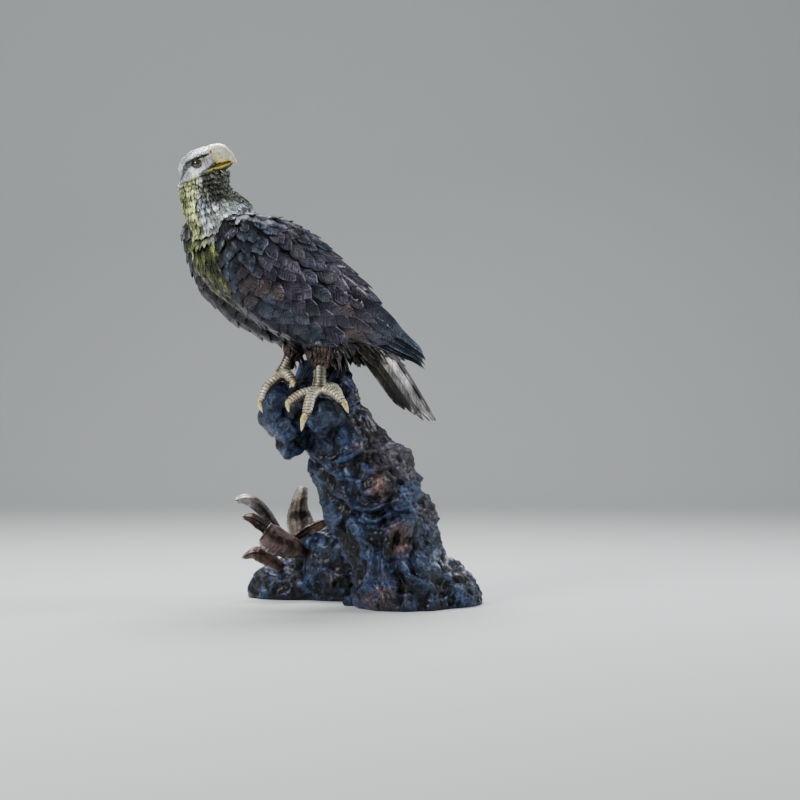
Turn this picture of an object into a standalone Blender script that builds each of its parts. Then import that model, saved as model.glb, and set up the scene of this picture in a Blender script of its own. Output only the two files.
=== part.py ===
"""Bald eagle on a rock: a patinated bronze garden statue, about life size.

The bird stands on boulders at the top of a leaning rock column, its trunk pitched up towards the
breast and its head turned back over its left shoulder. Metres, +Z up. The statue's left is -X, its
front is -Y, and it stands on the flat underside of its rock at z = 0.
"""
import math

import bmesh
import bpy
import numpy as np
from mathutils import Matrix, Vector, noise
from mathutils.bvhtree import BVHTree

for leftover in list(bpy.data.objects):
    bpy.data.objects.remove(leftover, do_unlink=True)

# ---- driving dimensions -------------------------------------------------------------------------
TRUNK_CENTRE = Vector((-0.091, 0.0, 0.692))
TRUNK_YAW = math.radians(30)      # the breast is turned this far from -X towards the front
TRUNK_PITCH = math.radians(31)    # and raised this far above level
WING_TUCK = 0.032                 # the right wing's wrist is held this much higher on the flank,
WING_SPREAD = 0.042               # this much further out
WING_LEAD = 0.012                 # and this much further forward than the left one's

HEAD_CENTRE = Vector((-0.288, -0.095, 0.960))   # on the midline, between the ears
HEAD_YAW = math.radians(15)       # the beak points to +X, turned this far towards the front
HEAD_PITCH = math.radians(20)
EYE_RADIUS = 0.0095
EYE_AHEAD, EYE_OFFSET, EYE_DROP = 0.0085, 0.0245, 0.0078   # an eyeball's centre from the head's

TOE_RADIUS = 0.0112
TOE_START = 0.30                  # a toe leaves the foot this far along its first bone
SHANK_RADIUS = 0.0142
CLAW_RADIUS = 0.0068
FEATHER_THICKNESS = 0.009         # of a blade of overlapping quills
LEAF_THICKNESS = 0.004
GAP = 0.00035                     # left between solids that touch
FLOOR = 0.0


# ---- the bird's and the head's own axes ---------------------------------------------------------
def axes(yaw, pitch, heading):
    """Forward, left and up of a body that looks along -X (heading -1) or +X (heading 1)."""
    forward = Vector((heading * math.cos(yaw) * math.cos(pitch), -math.sin(yaw) * math.cos(pitch),
                      math.sin(pitch)))
    left = Vector((0, 0, 1)).cross(forward).normalized()
    return forward, left, forward.cross(left).normalized()


BODY_AXES = axes(TRUNK_YAW, TRUNK_PITCH, -1)
HEAD_AXES = axes(HEAD_YAW, HEAD_PITCH, 1)


def on_body(ahead, left, up):
    """World place of a point given along the trunk's own axes."""
    forward, leftward, upward = BODY_AXES
    return tuple(TRUNK_CENTRE + forward * ahead + leftward * left + upward * up)


def on_head(ahead, left, up):
    forward, leftward, upward = HEAD_AXES
    return tuple(HEAD_CENTRE + forward * ahead + leftward * left + upward * up)


# ---- materials ----------------------------------------------------------------------------------
def finish(name, colour, roughness, metallic=1.0):
    material = bpy.data.materials.new(name)
    material.use_nodes = True
    shader = material.node_tree.nodes["Principled BSDF"]
    shader.inputs["Base Color"].default_value = (*colour, 1.0)
    shader.inputs["Roughness"].default_value = roughness
    shader.inputs["Metallic"].default_value = metallic
    return material


DARK_FEATHER = finish("dark_feather_bronze", (0.045, 0.032, 0.034), 0.42)
PALE_FEATHER = finish("silvered_feather_bronze", (0.46, 0.43, 0.33), 0.38)
GILT = finish("gilded_bronze", (0.62, 0.46, 0.20), 0.34)
THIGH_BRONZE = finish("red_brown_bronze", (0.10, 0.050, 0.028), 0.45)
ROCK_BRONZE = finish("blue_black_bronze", (0.022, 0.026, 0.040), 0.38)
LEAF_BRONZE = finish("leaf_brown_bronze", (0.12, 0.058, 0.036), 0.40)
EYE_ENAMEL = finish("eye_black", (0.010, 0.008, 0.007), 0.08, 0.0)


# ---- building closed solids ---------------------------------------------------------------------
def smooth_through(stations, count):
    """Catmull-Rom curve through the rows of stations, read at count even steps."""
    rows = np.array(stations, dtype=float)
    padded = np.vstack([2 * rows[0] - rows[1], rows, 2 * rows[-1] - rows[-2]])
    place = np.linspace(0, len(rows) - 1, count)
    start = np.minimum(place.astype(int), len(rows) - 2)
    t = (place - start)[:, None]
    a, b, c, d = (padded[start + k] for k in range(4))
    return 0.5 * (2 * b + (c - a) * t + (2 * a - 5 * b + 4 * c - d) * t**2
                  + (3 * b - a - 3 * c + d) * t**3)


def unit(vectors):
    return vectors / np.maximum(np.linalg.norm(vectors, axis=-1, keepdims=True), 1e-9)


def add_solid(name, points, faces, material):
    """A named object from points and faces, with its faces turned outwards and shaded smooth."""
    mesh = bpy.data.meshes.new(name)
    mesh.from_pydata([tuple(p) for p in points], [], faces)
    work = bmesh.new()
    work.from_mesh(mesh)
    bmesh.ops.triangulate(work, faces=work.faces)
    bmesh.ops.recalc_face_normals(work, faces=work.faces)
    work.to_mesh(mesh)
    work.free()
    mesh.materials.append(material)
    mesh.shade_smooth()
    solid = bpy.data.objects.new(name, mesh)
    bpy.context.scene.collection.objects.link(solid)
    return solid


def loft(name, stations, material, up=(0, 0, 1), rings=12, sides=16):
    """Ellipses along a smooth path; a station is a centre, a half width and a half height."""
    path = smooth_through([(*centre, wide, high) for centre, wide, high in stations], rings)
    centres = path[:, :3]
    tangent = unit(np.gradient(centres, axis=0))
    side = unit(np.cross(tangent, np.array(up, dtype=float)))
    top = np.cross(side, tangent)
    turn = np.linspace(0, 2 * math.pi, sides, endpoint=False)[None, :, None]
    wide = np.maximum(path[:, 3], 0.0006)[:, None, None]
    high = np.maximum(path[:, 4], 0.0006)[:, None, None]
    points = centres[:, None] + side[:, None] * wide * np.cos(turn) + top[:, None] * high * np.sin(turn)
    faces = [(r * sides + s, r * sides + (s + 1) % sides, (r + 1) * sides + (s + 1) % sides,
              (r + 1) * sides + s) for r in range(rings - 1) for s in range(sides)]
    faces.append(tuple(range(sides)))
    faces.append(tuple((rings - 1) * sides + s for s in range(sides)))
    return add_solid(name, points.reshape(-1, 3), faces, material)


def blade(name, spine, widths, material, up=(0, 0, 1), roll=0.0, arch=30.0, thickness=0.008,
          tips=1, notch=0.0, rounding=0.0, slant=0.0, rows=10, columns=9):
    """A curved plate along a spine whose far end is cut into rounded tips.

    widths are half widths from root to end. The plate's section is an arc of 2 x arch degrees, turned
    about the spine by roll degrees. notch is the depth of the gaps between tips and rounding the
    drop towards the plate's two edges, both as parts of its length.
    """
    fine = 60
    path = smooth_through(spine, fine)
    half = smooth_through([(w,) for w in widths], fine)[:, 0]
    tangent = unit(np.gradient(path, axis=0))
    side = unit(np.cross(tangent, np.array(up, dtype=float)))
    top = np.cross(side, tangent)
    angle = math.radians(roll)
    side, top = side * math.cos(angle) + top * math.sin(angle), top * math.cos(angle) - side * math.sin(angle)
    across = np.linspace(-1, 1, columns)
    lobes = np.abs(np.sin(tips * math.pi * (across + 1) / 2)) ** 0.7 if tips > 1 else np.ones(columns)
    reach = 1 - notch * (1 - lobes) - rounding * np.abs(across) ** 2.5 - slant * (across + 1) / 2
    along = np.linspace(0, 1, rows)[:, None] * reach[None, :]
    pick = along * (fine - 1)
    curl = math.radians(arch) * across[None, :]

    def read(values):
        return np.interp(pick, np.arange(fine), values)

    def read3(values):
        return np.stack([read(values[:, k]) for k in range(3)], axis=-1)

    bend = math.sin(math.radians(arch))
    wide = read(half)[..., None] / bend
    sheet = (read3(path) + read3(side) * wide * np.sin(curl)[..., None]
             + read3(top) * wide * (np.cos(curl) - 1)[..., None])
    normal = unit(np.cross(np.gradient(sheet, axis=0), np.gradient(sheet, axis=1)))
    normal *= np.sign((normal * read3(top)).sum(axis=-1, keepdims=True))
    thin = thickness * (1 - 0.45 * along)[..., None] / 2
    points = np.concatenate([(sheet + normal * thin).reshape(-1, 3), (sheet - normal * thin).reshape(-1, 3)])
    under = rows * columns

    def quad(r, c, base):
        return (base + r * columns + c, base + r * columns + c + 1,
                base + (r + 1) * columns + c + 1, base + (r + 1) * columns + c)

    cells = [(r, c) for r in range(rows - 1) for c in range(columns - 1)]
    faces = [quad(r, c, 0) for r, c in cells] + [quad(r, c, under)[::-1] for r, c in cells]
    rim = ([(0, c) for c in range(columns)] + [(r, columns - 1) for r in range(1, rows)]
           + [(rows - 1, c) for c in range(columns - 2, -1, -1)] + [(r, 0) for r in range(rows - 2, 0, -1)])
    ring = [r * columns + c for r, c in rim]
    faces += [(ring[k], ring[k - 1], ring[k - 1] + under, ring[k] + under) for k in range(len(ring))]
    return add_solid(name, points, faces, material)


def roughen(solid, depth, scale, seed):
    """Move the surface along its normals by three octaves of smooth noise, as on cast rock."""
    mesh = solid.data
    normals = [v.normal.copy() for v in mesh.vertices]
    shift = Vector((seed * 7.3, seed * 3.1, seed * 5.7))
    for vertex, normal in zip(mesh.vertices, normals):
        place = vertex.co / scale + shift
        height = noise.noise(place) + 0.5 * noise.noise(place * 2.1) + 0.25 * noise.noise(place * 4.3)
        vertex.co += normal * height * depth
    mesh.update()


def lump(name, centre, radii, seed, depth=0.010, level=3, tilt=0.0, material=ROCK_BRONZE):
    """A rounded body: an icosphere stretched to radii and tilted about Y; depth roughens its skin."""
    mesh = bpy.data.meshes.new(name)
    work = bmesh.new()
    place = Matrix.Translation(centre) @ Matrix.Rotation(math.radians(tilt), 4, "Y") @ Matrix.Diagonal((*radii, 1))
    bmesh.ops.create_icosphere(work, subdivisions=level, radius=1.0, matrix=place)
    bmesh.ops.recalc_face_normals(work, faces=work.faces)
    work.to_mesh(mesh)
    work.free()
    mesh.materials.append(material)
    mesh.shade_smooth()
    solid = bpy.data.objects.new(name, mesh)
    bpy.context.scene.collection.objects.link(solid)
    roughen(solid, depth, max(radii), seed)
    return solid


def trim_below(solid, height):
    """Cut everything under a level plane away and close the cut with a flat face."""
    work = bmesh.new()
    work.from_mesh(solid.data)
    geometry = work.verts[:] + work.edges[:] + work.faces[:]
    cut = bmesh.ops.bisect_plane(work, geom=geometry, dist=1e-6, plane_co=(0, 0, height),
                                 plane_no=(0, 0, -1), clear_outer=True)
    rim = [e for e in cut["geom_cut"] if isinstance(e, bmesh.types.BMEdge)]
    bmesh.ops.contextual_create(work, geom=rim)
    bmesh.ops.triangulate(work, faces=work.faces)
    bmesh.ops.recalc_face_normals(work, faces=work.faces)
    work.to_mesh(solid.data)
    work.free()


# ---- head ---------------------------------------------------------------------------------------
def make_head():
    solids = []
    for side, sign in (("left", 1), ("right", -1)):
        solids.append(lump(f"eye_{side}", on_head(EYE_AHEAD, sign * EYE_OFFSET, -EYE_DROP), [EYE_RADIUS] * 3,
                           0, 0.0, 2, material=EYE_ENAMEL))
    up = HEAD_AXES[2]
    # stations of ahead, up, half width and half height
    beak = [(0.0340, 0.0025, 0.0150, 0.0220), (0.0475, 0.0010, 0.0146, 0.0226),
            (0.0573, -0.0022, 0.0130, 0.0214), (0.0663, -0.0085, 0.0110, 0.0178),
            (0.0743, -0.0150, 0.0088, 0.0122), (0.0792, -0.0213, 0.0064, 0.0072),
            (0.0818, -0.0268, 0.0045, 0.0048), (0.0832, -0.0312, 0.0028, 0.0030),
            (0.0842, -0.0345, 0.0008, 0.0008)]
    solids.append(loft("beak_upper", [(on_head(u, 0, v), w, h) for u, v, w, h in beak], GILT, up, 10, 8))
    jaw = [(0.006, -0.0310, 0.0160, 0.0050), (0.020, -0.0308, 0.0150, 0.0052), (0.036, -0.0315, 0.0130, 0.0050),
           (0.048, -0.0326, 0.0112, 0.0045), (0.060, -0.0338, 0.0085, 0.0040), (0.070, -0.0338, 0.0050, 0.0030),
           (0.0765, -0.0328, 0.0015, 0.0012)]
    solids.append(loft("beak_lower", [(on_head(u, 0, v), w, h) for u, v, w, h in jaw], GILT, up, 7, 8))
    skull = [(-0.0415, -0.014, 0.006, 0.006), (-0.036, -0.012, 0.019, 0.0175), (-0.026, -0.009, 0.0275, 0.0240),
             (-0.012, -0.006, 0.0330, 0.0305), (0.004, -0.0045, 0.0345, 0.0325), (0.022, -0.0045, 0.0300, 0.0325),
             (0.036, -0.004, 0.0235, 0.0295), (0.045, -0.003, 0.0180, 0.0275)]
    solids.append(loft("head", [(on_head(u, 0, v), w, h) for u, v, w, h in skull], PALE_FEATHER, up, 9, 10))
    return solids


# ---- trunk, neck, wings and tail ----------------------------------------------------------------
def make_body():
    up = BODY_AXES[2]
    trunk = [(0.236, 0.010, 0.020, 0.022), (0.222, 0.002, 0.056, 0.056), (0.190, -0.004, 0.082, 0.084),
             (0.130, -0.004, 0.100, 0.097), (0.060, -0.003, 0.105, 0.100), (-0.020, -0.004, 0.097, 0.098),
             (-0.090, -0.006, 0.077, 0.084), (-0.150, -0.008, 0.054, 0.060), (-0.200, -0.012, 0.036, 0.036),
             (-0.225, -0.016, 0.016, 0.016)]
    solids = [loft("trunk", [(on_body(a, 0, c), w, h) for a, c, w, h in trunk], DARK_FEATHER, up, 11, 12)]
    neck = [((-0.222, -0.066, 0.800), 0.082, 0.066), ((-0.2355, -0.080, 0.842), 0.0695, 0.067),
            ((-0.265, -0.090, 0.880), 0.058, 0.056), ((-0.274, -0.096, 0.910), 0.056, 0.046),
            ((-0.2665, -0.096, 0.938), 0.052, 0.034), ((-0.276, -0.095, 0.960), 0.036, 0.026)]
    solids.append(loft("neck", neck, PALE_FEATHER, (0, 1, 0), 6, 10))
    return solids


def wing_edges(side):
    """Rows of ahead, lower edge, upper edge, middle from the body's centre plane, half thickness."""
    rows = [(0.238, 0.002, 0.028, 0.070, 0.014), (0.218, -0.034, 0.056, 0.078, 0.034),
            (0.180, -0.070, 0.082, 0.078, 0.050), (0.130, -0.110, 0.100, 0.074, 0.060),
            (0.075, -0.126, 0.112, 0.070, 0.065), (0.005, -0.120, 0.108, 0.068, 0.063),
            (-0.065, -0.098, 0.103, 0.064, 0.058), (-0.140, -0.048, 0.089, 0.058, 0.046),
            (-0.200, -0.020, 0.066, 0.054, 0.032), (-0.245, -0.004, 0.044, 0.052, 0.014)]
    if side > 0:
        return rows
    near_wrist = [math.exp(-(((row[0] - 0.15) / 0.12) ** 2)) for row in rows]
    return [(ahead + WING_LEAD * share, low + WING_TUCK * share, high, mid + WING_SPREAD * share, thick)
            for (ahead, low, high, mid, thick), share in zip(rows, near_wrist)]


def make_wings():
    up = BODY_AXES[2]
    solids = []
    for name, side in (("wing_left", 1), ("wing_right", -1)):
        stations = [(on_body(a, side * mid, (low + high) / 2), thick, (high - low) / 2)
                    for a, low, high, mid, thick in wing_edges(side)]
        solids.append(loft(name, stations, DARK_FEATHER, up, 9, 10))
    for name, side in (("wing_left_primaries", 1), ("wing_right_primaries", -1)):
        spine = [on_body(-0.060, side * 0.098, -0.016), on_body(-0.160, side * 0.088, 0.010),
                 on_body(-0.262, side * 0.066, 0.019), on_body(-0.322, side * 0.052, 0.0265),
                 on_body(-0.369, side * 0.040, 0.021)]
        solids.append(blade(name, spine, (0.048, 0.043, 0.025, 0.015, 0.010), DARK_FEATHER, up, side * 68, 26,
                            FEATHER_THICKNESS, tips=3, notch=0.035, slant=0.10 if side > 0 else -0.10, rows=7,
                            columns=7))
    return solids


def make_tail():
    spine = [(0.038, 0.062, 0.632), (0.1005, 0.096, 0.574), (0.160, 0.130, 0.493), (0.227, 0.170, 0.3855)]
    return [blade("tail", spine, (0.042, 0.053, 0.056, 0.055), PALE_FEATHER, (0, 0, 1), -59, 36,
                  FEATHER_THICKNESS, tips=6, notch=0.04, rounding=0.05, slant=0.20, rows=7, columns=13)]


# ---- legs and feet ------------------------------------------------------------------------------
LEGS = {
    "left": {
        "thigh": [((-0.006, -0.010, 0.625), 0.050, 0.056), ((-0.012, -0.026, 0.590), 0.050, 0.050),
                  ((-0.018, -0.042, 0.556), 0.043, 0.040), ((-0.022, -0.052, 0.530), 0.022, 0.021),
                  ((-0.023, -0.056, 0.516), 0.014, 0.014)],
        "shank": [(-0.022, -0.054, 0.534), (-0.024, -0.060, 0.500), (-0.025, -0.064, 0.474)],
        "toes": {
            "inner": [(-0.030, -0.064, 0.471), (-0.061, -0.076, 0.463), (-0.083, -0.084, 0.449),
                      (-0.092, -0.087, 0.442), (-0.089, -0.092, 0.424)],
            "middle": [(-0.028, -0.070, 0.470), (-0.041, -0.096, 0.457), (-0.048, -0.115, 0.428),
                       (-0.057, -0.122, 0.407), (-0.061, -0.121, 0.383)],
            "outer": [(-0.020, -0.068, 0.471), (0.004, -0.080, 0.465), (0.022, -0.088, 0.451),
                      (0.031, -0.090, 0.441), (0.039, -0.092, 0.422)],
            "hind": [(-0.022, -0.060, 0.471), (-0.006, -0.042, 0.478), (0.007, -0.028, 0.476),
                     (0.016, -0.020, 0.471), (0.026, -0.014, 0.455)],
        },
    },
    "right": {
        "thigh": [((-0.060, 0.050, 0.630), 0.048, 0.054), ((-0.072, 0.050, 0.598), 0.044, 0.046),
                  ((-0.084, 0.046, 0.570), 0.030, 0.030), ((-0.091, 0.042, 0.550), 0.019, 0.019),
                  ((-0.095, 0.041, 0.540), 0.013, 0.013)],
        "shank": [(-0.090, 0.042, 0.556), (-0.101, 0.042, 0.532), (-0.112, 0.042, 0.508)],
        "toes": {
            "inner": [(-0.108, 0.036, 0.506), (-0.099, 0.020, 0.506), (-0.089, 0.008, 0.495),
                      (-0.085, 0.003, 0.488), (-0.079, -0.002, 0.471)],
            "middle": [(-0.118, 0.038, 0.503), (-0.143, 0.028, 0.480), (-0.154, 0.022, 0.456),
                       (-0.160, 0.018, 0.445), (-0.153, 0.012, 0.422)],
            "outer": [(-0.118, 0.046, 0.503), (-0.140, 0.064, 0.484), (-0.152, 0.076, 0.464),
                      (-0.158, 0.082, 0.454), (-0.156, 0.087, 0.434)],
            "hind": [(-0.110, 0.050, 0.505), (-0.106, 0.070, 0.502), (-0.104, 0.084, 0.492),
                     (-0.103, 0.091, 0.484), (-0.102, 0.098, 0.466)],
        },
    },
}


def claw_root(points):
    """Where a claw leaves its toe, between the toe's last joint and the claw's bend."""
    return Vector(points[2]).lerp(Vector(points[3]), 0.45)


def make_claws():
    """Each claw goes on from its toe's last joint: a tapering hook."""
    solids = []
    for side, leg in LEGS.items():
        for toe, points in leg["toes"].items():
            root, bend, tip = claw_root(points), Vector(points[3]), Vector(points[4])
            stations = [(root, CLAW_RADIUS, CLAW_RADIUS), (bend, CLAW_RADIUS * 0.92, CLAW_RADIUS * 0.92),
                        (bend.lerp(tip, 0.6), CLAW_RADIUS * 0.55, CLAW_RADIUS * 0.55), (tip, 0.0010, 0.0010)]
            solids.append(loft(f"claw_{side}_{toe}", stations, GILT, (0.3, 1, 0.2), 5, 5))
    return solids


def make_feet():
    solids = []
    for side, leg in LEGS.items():
        solids.append(lump(f"foot_{side}", leg["shank"][-1], (0.0155, 0.0155, 0.0125), 1, 0.0, 2, material=GILT))
    for side, leg in LEGS.items():
        for toe, points in leg["toes"].items():
            radii = [1.0, 0.96, 0.90, 0.82]
            root = Vector(leg["shank"][-1]).lerp(Vector(points[1]), TOE_START)
            end = claw_root(points)
            end += (Vector(points[2]) - end).normalized() * 2 * GAP
            route = [root, points[1], points[2], end]
            stations = [(p, TOE_RADIUS * r, TOE_RADIUS * r) for p, r in zip(route, radii)]
            solids.append(loft(f"toe_{side}_{toe}", stations, GILT, (0.3, 1, 0.2), 4, 6))
    for side, leg in LEGS.items():
        stations = [(p, SHANK_RADIUS * r, SHANK_RADIUS * r) for p, r in zip(leg["shank"], (1.0, 0.95, 1.1))]
        solids.append(loft(f"shank_{side}", stations, GILT, (0, 1, 0), 3, 8))
    for side, leg in LEGS.items():
        solids.append(loft(f"thigh_{side}", leg["thigh"], THIGH_BRONZE, (0, 1, 0), 6, 9))
    return solids


# ---- rock and leaves ----------------------------------------------------------------------------
def make_rock():
    solids = [
        lump("boulder_far_left", (-0.120, 0.052, 0.428), (0.038, 0.062, 0.066), 2, 0.010, 3, 8),
        lump("boulder_front_left", (-0.088, -0.052, 0.372), (0.036, 0.050, 0.046), 3, 0.008, 2, -10),
        lump("boulder_front_right", (-0.012, -0.056, 0.410), (0.046, 0.060, 0.046), 4, 0.009, 3, 12),
        lump("rock_crest", (-0.032, 0.096, 0.484), (0.058, 0.045, 0.070), 16, 0.006, 2, -6),
        lump("boulder_saddle", (-0.062, 0.010, 0.440), (0.052, 0.058, 0.058), 5, 0.006, 2),
    ]
    column = [((0.032, 0.054, 0.532), 0.008, 0.010), ((0.028, 0.054, 0.512), 0.022, 0.028),
              ((0.020, 0.056, 0.478), 0.034, 0.042), ((0.008, 0.034, 0.430), 0.058, 0.064),
              ((0.026, 0.012, 0.360), 0.080, 0.088), ((0.062, 0.012, 0.290), 0.101, 0.098),
              ((0.088, 0.014, 0.235), 0.111, 0.104), ((0.112, 0.012, 0.180), 0.110, 0.110),
              ((0.134, 0.004, 0.120), 0.100, 0.122), ((0.154, -0.008, 0.050), 0.110, 0.138),
              ((0.164, -0.010, -0.020), 0.118, 0.146)]
    solids.append(loft("rock_column", column, ROCK_BRONZE, (0, 1, 0), 12, 12))
    roughen(solids[-1], 0.009, 0.060, 6)
    solids += [
        lump("rock_mound", (-0.070, 0.205, 0.014), (0.136, 0.112, 0.088), 7, 0.012, 3, -15),
        lump("rock_ramp", (0.012, 0.150, 0.064), (0.100, 0.096, 0.110), 8, 0.010, 3, -22),
        lump("rock_skirt", (0.222, 0.040, 0.006), (0.110, 0.128, 0.098), 9, 0.010, 3, 14),
        lump("pebble_knob", (0.036, -0.020, 0.010), (0.013, 0.013, 0.013), 12, 0.001, 2),
        lump("shard_brown", (0.108, -0.094, 0.262), (0.036, 0.018, 0.030), 13, 0.006, 2, 20, LEAF_BRONZE),
        lump("shard_oval", (0.152, -0.082, 0.234), (0.020, 0.018, 0.028), 14, 0.004, 2, -12),
        lump("bark_slab", (0.148, -0.122, 0.150), (0.024, 0.016, 0.048), 15, 0.004, 2, 24, LEAF_BRONZE),
    ]
    return solids


LEAVES = {
    # spine from root to tip, half widths, roll and arch in degrees
    "leaf_hook": ([(-0.118, 0.150, 0.140), (-0.145, 0.140, 0.182), (-0.168, 0.135, 0.212),
                   (-0.196, 0.130, 0.227), (-0.224, 0.125, 0.222)], (0.012, 0.016, 0.014, 0.009, 0.002), 55, 50),
    "leaf_spear": ([(-0.118, 0.128, 0.138), (-0.150, 0.118, 0.164), (-0.180, 0.110, 0.182),
                    (-0.206, 0.105, 0.187)], (0.012, 0.014, 0.010, 0.002), 50, 40),
    "leaf_folded": ([(-0.066, 0.100, 0.110), (-0.098, 0.090, 0.128), (-0.126, 0.082, 0.146),
                     (-0.148, 0.076, 0.164)], (0.012, 0.028, 0.032, 0.024), 62, 70),
    "leaf_low": ([(-0.122, 0.130, 0.078), (-0.150, 0.118, 0.098), (-0.178, 0.108, 0.106),
                  (-0.204, 0.100, 0.093)], (0.014, 0.017, 0.012, 0.002), 55, 45),
    "leaf_upright": ([(-0.068, 0.150, 0.130), (-0.078, 0.146, 0.170), (-0.080, 0.142, 0.205),
                      (-0.070, 0.140, 0.252)], (0.024, 0.027, 0.021, 0.011), 0, 78),
    "leaf_ground": ([(-0.080, 0.118, 0.146), (-0.055, 0.108, 0.160), (-0.028, 0.100, 0.174),
                     (-0.004, 0.096, 0.184)], (0.006, 0.013, 0.013, 0.003), 40, 30),
}


def make_leaves():
    solids = []
    for name, (spine, widths, roll, arch) in LEAVES.items():
        up = (0, -1, 0) if name == "leaf_upright" else (0, 0, 1)
        solids.append(blade(name, spine, widths, LEAF_BRONZE, up, roll, arch, LEAF_THICKNESS, rounding=0.06,
                            rows=5, columns=4))
    return solids


# ---- fitting the solids together ----------------------------------------------------------------
def swollen(shape):
    """A hidden cutter: a shape grown by the gap along its normals."""
    mesh = shape.copy()
    cutter = bpy.data.objects.new("cutter", mesh)
    bpy.context.scene.collection.objects.link(cutter)
    cutter.hide_render = True
    cutter.display_type = "WIRE"
    for vertex, normal in zip(mesh.vertices, [v.normal.copy() for v in shape.vertices]):
        vertex.co += normal * GAP
    return cutter


def tree_of(mesh):
    return BVHTree.FromPolygons([v.co for v in mesh.vertices], [tuple(p.vertices) for p in mesh.polygons])


def keep_largest(mesh):
    """Drop crumbs: keep the island with the most volume."""
    work = bmesh.new()
    work.from_mesh(mesh)
    bmesh.ops.triangulate(work, faces=work.faces)
    left = set(work.verts)
    islands = []
    while left:
        seed = left.pop()
        island, front = {seed}, [seed]
        while front:
            for edge in front.pop().link_edges:
                for vertex in edge.verts:
                    if vertex in left:
                        left.discard(vertex)
                        island.add(vertex)
                        front.append(vertex)
        faces = {f for v in island for f in v.link_faces}
        volume = sum(f.verts[0].co.dot(f.verts[1].co.cross(f.verts[2].co)) for f in faces) / 6
        islands.append((volume, island))
    islands.sort(key=lambda item: item[0])
    for _, island in islands[:-1]:
        bmesh.ops.delete(work, geom=list(island), context="VERTS")
    work.to_mesh(mesh)
    work.free()


def carve(solid, whole_shapes):
    """Take the swollen whole shape of every overlapping neighbour away from a solid."""
    for shape in whole_shapes:
        if not tree_of(solid.data).overlap(tree_of(shape)):
            continue
        cutter = swollen(shape)
        cut = solid.modifiers.new("cut", "BOOLEAN")
        cut.operation = "DIFFERENCE"
        cut.solver = "EXACT"
        cut.object = cutter
        depsgraph = bpy.context.evaluated_depsgraph_get()
        result = bpy.data.meshes.new_from_object(solid.evaluated_get(depsgraph))
        solid.modifiers.clear()
        solid.data = result
        bpy.data.objects.remove(cutter, do_unlink=True)
        keep_largest(solid.data)


def build():
    solids = (make_head() + make_body() + make_wings() + make_tail() + make_claws() + make_feet()
              + make_leaves() + make_rock())
    for solid in solids:
        if min(v.co.z for v in solid.data.vertices) < FLOOR:
            trim_below(solid, FLOOR)
    whole_shapes = [solid.data.copy() for solid in solids]
    for index, solid in enumerate(solids):
        carve(solid, whole_shapes[:index])
    corners = np.array([tuple(v.co) for s in solids for v in s.data.vertices])
    low, high = corners.min(axis=0), corners.max(axis=0)
    statue = bpy.data.objects.new("statue", None)
    statue.location = (-(low[0] + high[0]) / 2, -(low[1] + high[1]) / 2, -low[2])
    bpy.context.scene.collection.objects.link(statue)
    for solid in solids:
        solid.parent = statue
    triangles = 0
    for solid in solids:
        solid.data.calc_loop_triangles()
        triangles += len(solid.data.loop_triangles)
        print(f"{solid.name:22s}{len(solid.data.loop_triangles):6d} triangles")
    print(len(solids), "solids,", triangles, "triangles, size", (high - low).round(4), "from", low.round(4))


build()
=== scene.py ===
# %% [markdown]
# # Bronze eagle on a rock
# A cast bronze garden statue: one hollow casting of a bald eagle and its rock, chiselled feather by
# feather and coloured with hot chemical patinas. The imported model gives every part's place. This
# script adds the surface: a skin, some thousands of overlapping cast vanes, scaled feet, a hooked
# beak, grained rock, curled leaves and their patinas. All lengths are metres, with +Z up.

# %% Frame and measures
import math

import bmesh
import bpy
import numpy as np
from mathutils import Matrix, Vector
from mathutils.bvhtree import BVHTree


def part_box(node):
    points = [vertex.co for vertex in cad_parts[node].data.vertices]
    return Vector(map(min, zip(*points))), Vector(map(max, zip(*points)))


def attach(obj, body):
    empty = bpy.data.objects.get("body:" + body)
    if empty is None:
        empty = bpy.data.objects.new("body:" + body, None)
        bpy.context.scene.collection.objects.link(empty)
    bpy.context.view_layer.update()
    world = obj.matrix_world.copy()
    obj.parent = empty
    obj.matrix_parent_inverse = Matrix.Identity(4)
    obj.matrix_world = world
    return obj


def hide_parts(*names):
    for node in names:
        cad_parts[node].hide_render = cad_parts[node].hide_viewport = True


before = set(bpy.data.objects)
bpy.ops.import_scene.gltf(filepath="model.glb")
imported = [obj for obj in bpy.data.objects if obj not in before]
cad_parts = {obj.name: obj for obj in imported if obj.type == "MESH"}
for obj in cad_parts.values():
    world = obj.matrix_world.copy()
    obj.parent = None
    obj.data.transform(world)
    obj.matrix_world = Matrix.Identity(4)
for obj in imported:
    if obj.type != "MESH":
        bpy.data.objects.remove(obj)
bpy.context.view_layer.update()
scene = bpy.context.scene

# %% [markdown]
# ## Camera, light and floor
# A statue like this is seen by daylight from one large soft source overhead, which is what makes the
# upper edges of its feathers glint. A wide panel above and behind, a weaker one in front and a pale
# room do the same here. Polished metal shows what stands round it, so the room is dimmer than the
# panels, or every fold would look grey. The floor runs up into the backdrop in one curve.

# %% Camera, light and floor
CAMERA_DISTANCE, CAMERA_HEIGHT, CAMERA_RIGHT = 4.461, 0.45, 0.1504


def add_object(name, data):
    thing = bpy.data.objects.new(name, data)
    scene.collection.objects.link(thing)
    return thing


camera = add_object("camera", bpy.data.cameras.new("camera"))
camera.data.lens, camera.data.sensor_width = 90, 36
camera.location = (CAMERA_RIGHT, -CAMERA_DISTANCE, CAMERA_HEIGHT)
camera.rotation_euler = (math.pi / 2, 0, 0)
scene.camera = camera


def panel(name, place, target, size, power, colour=(1, 1, 1)):
    """A soft round lamp at a place, turned to face a target."""
    lamp = add_object(name, bpy.data.lights.new(name, "AREA"))
    lamp.data.shape, lamp.data.size, lamp.data.energy, lamp.data.color = "DISK", size, power, colour
    lamp.location = place
    lamp.rotation_euler = (Vector(target) - Vector(place)).to_track_quat("-Z", "Y").to_euler()


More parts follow.
